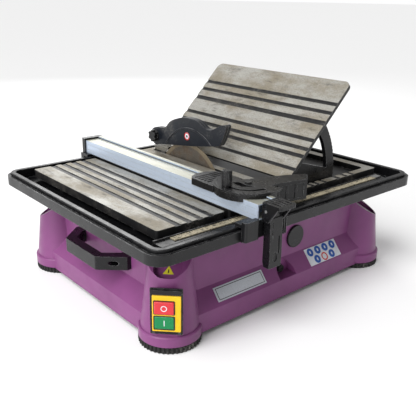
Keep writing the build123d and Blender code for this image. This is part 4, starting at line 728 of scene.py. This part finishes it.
class SAW_OT_safety_films(bpy.types.Operator):
    """Blank safety films on the front slope, the switch leg and the guard"""
    bl_idname = "saw.safety_films"
    bl_label = "Safety Films"

    def add_film(self, name, colour, body, film, outlines=(), rings=()):
        """One printed film, made of flat outlines and rings, each with its place."""
        bm = bmesh.new()
        for outline, place in outlines:
            prism(bm, outline, film, place)
        for outer, inner, place in rings:
            ring(bm, outer, inner, film, place)
        piece = object_from(name, bm, colour)
        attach(piece, body)

    def add_safety_card(self, sizes, lift):
        film = sizes.film
        card = facing(SLOPE_MIDDLE + Vector((sizes.card_x, 0, 0)), SLOPE_NORMAL)
        outline = rounded(sizes.card_width, sizes.card_height, 0.001)
        self.add_film("safety_card", "sticker_white", "saw", film, [(outline, card)])
        places = [shift(card, x, sizes.row_offset, lift) for x in (-0.032, -0.0105, 0.011, 0.0325)]
        places += [shift(card, x, -sizes.row_offset, lift) for x in (-0.021, 0.0215)]
        discs = [(circle(sizes.disc_radius, 32), place) for place in places]
        self.add_film("safety_discs", "sticker_blue", "saw", film, discs)
        red_ring = (sizes.disc_radius, 0.0056, shift(card, 0.0, -sizes.row_offset, lift))
        self.add_film("safety_ring", "sticker_red", "saw", film, rings=[red_ring])
        shapes = [(rounded(0.0034, 0.0058, 0.0015), shift(place, 0, 0, lift)) for place in places]
        self.add_film("safety_shapes", "sticker_white", "saw", film, shapes)

    def add_plate_border(self, sizes):
        place = facing(SLOPE_MIDDLE + Vector((sizes.plate_x, 0, 0)) + 0.00055 * SLOPE_NORMAL, SLOPE_NORMAL)
        line = sizes.border_width
        borders = [(rounded(0.106, line, 0.0003), shift(place, 0, y)) for y in (-0.0095, 0.0095)]
        borders += [(rounded(line, 0.0201, 0.0003), shift(place, x, 0)) for x in (-0.0525, 0.0525)]
        self.add_film("plate_border", "sticker_black", "saw", sizes.film, borders)

    def add_hazard_sign(self, film, lift):
        well = facing(WELL_FLOOR, WELL_NORMAL)
        triangle = [(-0.0085, -0.0055), (0.0085, -0.0055), (0.0, 0.0092)]
        self.add_film("hazard_triangle", "sticker_yellow", "saw", film, [(triangle, well)])
        bar = (rounded(0.0016, 0.0064, 0.0006), shift(well, 0, -0.0003, lift))
        self.add_film("hazard_bar", "sticker_black", "saw", film, [bar])

    def add_guard_sign(self, film, lift):
        # on the raised arc of the guard's left face
        face_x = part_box("guard_left_shell")[0].x + 0.0014
        guard = facing(Vector((face_x, 0.0913, 0.2487)), (-1, 0, 0))
        self.add_film("guard_disc", "sticker_white", "guard", film, [(circle(0.0080), guard)])
        above = shift(guard, 0, 0, lift)
        self.add_film("guard_ring", "sticker_red", "guard", film, rings=[(0.0079, 0.0058, above)])
        self.add_film("guard_shape", "sticker_black", "guard", film,
                      [(rounded(0.0052, 0.0048, 0.0018), above)])

    def execute(self, context):
        sizes = context.scene.saw_sizes
        lift = sizes.film * 0.9
        self.add_safety_card(sizes, lift)
        self.add_plate_border(sizes)
        self.add_hazard_sign(sizes.film, lift)
        self.add_guard_sign(sizes.film, lift)
        return {"FINISHED"}


class SAW_OT_stage(bpy.types.Operator):
    """Pale floor, soft light and the camera"""
    bl_idname = "saw.stage"
    bl_label = "Saw Stage"

    def light(self, name, place, target, size, power):
        data = bpy.data.lights.new(name, "AREA")
        data.shape = "DISK"
        data.size = size
        data.energy = power
        lamp = bpy.data.objects.new(name, data)
        lamp.location = place
        lamp.rotation_euler = (Vector(target) - Vector(place)).to_track_quat("-Z", "Y").to_euler()
        bpy.context.scene.collection.objects.link(lamp)

    def add_floor(self):
        bm = bmesh.new()
        bmesh.ops.create_circle(bm, cap_ends=True, segments=96, radius=40.0)
        mesh = bpy.data.meshes.new("floor")
        bm.to_mesh(mesh)
        bm.free()
        floor = bpy.data.objects.new("floor", mesh)
        bpy.context.scene.collection.objects.link(floor)
        material, _, shader = start_material("pale_floor", Roughness=0.9, Specular_IOR_Level=0.1)
        shader.inputs["Base Color"].default_value = (0.96, 0.96, 0.96, 1)
        floor.data.materials.append(material)

    def add_sky(self):
        """A white world that looks brighter to the camera than it shines on the saw."""
        world = bpy.data.worlds.new("studio")
        world.use_nodes = True
        tree = world.node_tree
        sky = tree.nodes["Background"]
        sky.inputs[0].default_value = (1.0, 1.0, 1.0, 1)
        seen = put(tree, "ShaderNodeLightPath").outputs["Is Camera Ray"]
        tree.links.new(ramp(tree, seen, 0.0, 1.0, 0.42, 1.0), sky.inputs[1])
        bpy.context.scene.world = world

    def add_lights(self):
        sun = bpy.data.lights.new("overhead_light", "SUN")
        sun.energy = 1.9
        sun.angle = math.radians(38)
        lamp = bpy.data.objects.new("overhead_light", sun)
        lamp.rotation_euler = Vector((0.62, 0.06, -1.0)).to_track_quat("-Z", "Y").to_euler()
        bpy.context.scene.collection.objects.link(lamp)
        self.light("left_light", (-2.3, -0.25, 0.9), (0, 0, 0.1), 1.5, 36)
        self.light("back_light", (0.9, 2.0, 1.3), (0, 0, 0.15), 1.2, 14)

    def add_camera(self):
        down, roll = CAMERA_DOWN, CAMERA_ROLL
        forward = Vector((math.sin(CAMERA_TURN) * math.cos(down), math.cos(CAMERA_TURN) * math.cos(down),
                          -math.sin(down)))
        right = Vector((math.cos(CAMERA_TURN), -math.sin(CAMERA_TURN), 0))
        above = right.cross(forward)
        side = math.cos(roll) * right + math.sin(roll) * above
        top = -math.sin(roll) * right + math.cos(roll) * above
        data = bpy.data.cameras.new("camera")
        data.lens = CAMERA_LENS
        data.sensor_width = 36.0
        data.clip_end = 100.0
        camera = bpy.data.objects.new("camera", data)
        bpy.context.scene.collection.objects.link(camera)
        placing = Matrix((side, top, -forward)).transposed().to_4x4()
        placing.translation = CAMERA_PLACE
        camera.matrix_world = placing
        bpy.context.scene.camera = camera

    def execute(self, context):
        self.add_floor()
        self.add_sky()
        context.scene.view_settings.view_transform = "Standard"
        self.add_lights()
        self.add_camera()
        return {"FINISHED"}


class SAW_PT_panel(bpy.types.Panel):
    """Shows the saw's look and size settings and its steps in the sidebar"""
    bl_idname = "SAW_PT_panel"
    bl_label = "Tile Saw"
    bl_space_type = "VIEW_3D"
    bl_region_type = "UI"
    bl_category = "Tile Saw"

    def draw(self, context):
        layout = self.layout
        for group_name in ("saw_look", "saw_sizes"):
            settings = getattr(context.scene, group_name)
            for key in settings.bl_rna.properties.keys():
                if key not in ("rna_type", "name"):
                    layout.prop(settings, key)
        for step in STEPS:
            layout.operator(step.bl_idname)


STEPS = (SAW_OT_stage, SAW_OT_finishes, SAW_OT_foot_ribs, SAW_OT_rule_marks, SAW_OT_button_marks,
         SAW_OT_safety_films)
CLASSES = (SawLook, SawSizes) + STEPS + (SAW_PT_panel,)


def register():
    for entry in CLASSES:
        bpy.utils.register_class(entry)
    bpy.types.Scene.saw_look = bpy.props.PointerProperty(type=SawLook)
    bpy.types.Scene.saw_sizes = bpy.props.PointerProperty(type=SawSizes)


def unregister():
    del bpy.types.Scene.saw_sizes
    del bpy.types.Scene.saw_look
    for entry in reversed(CLASSES):
        bpy.utils.unregister_class(entry)


def main():
    register()
    for step in STEPS:
        area, name = step.bl_idname.split(".")
        getattr(getattr(bpy.ops, area), name)()


if __name__ == "__main__":
    main()
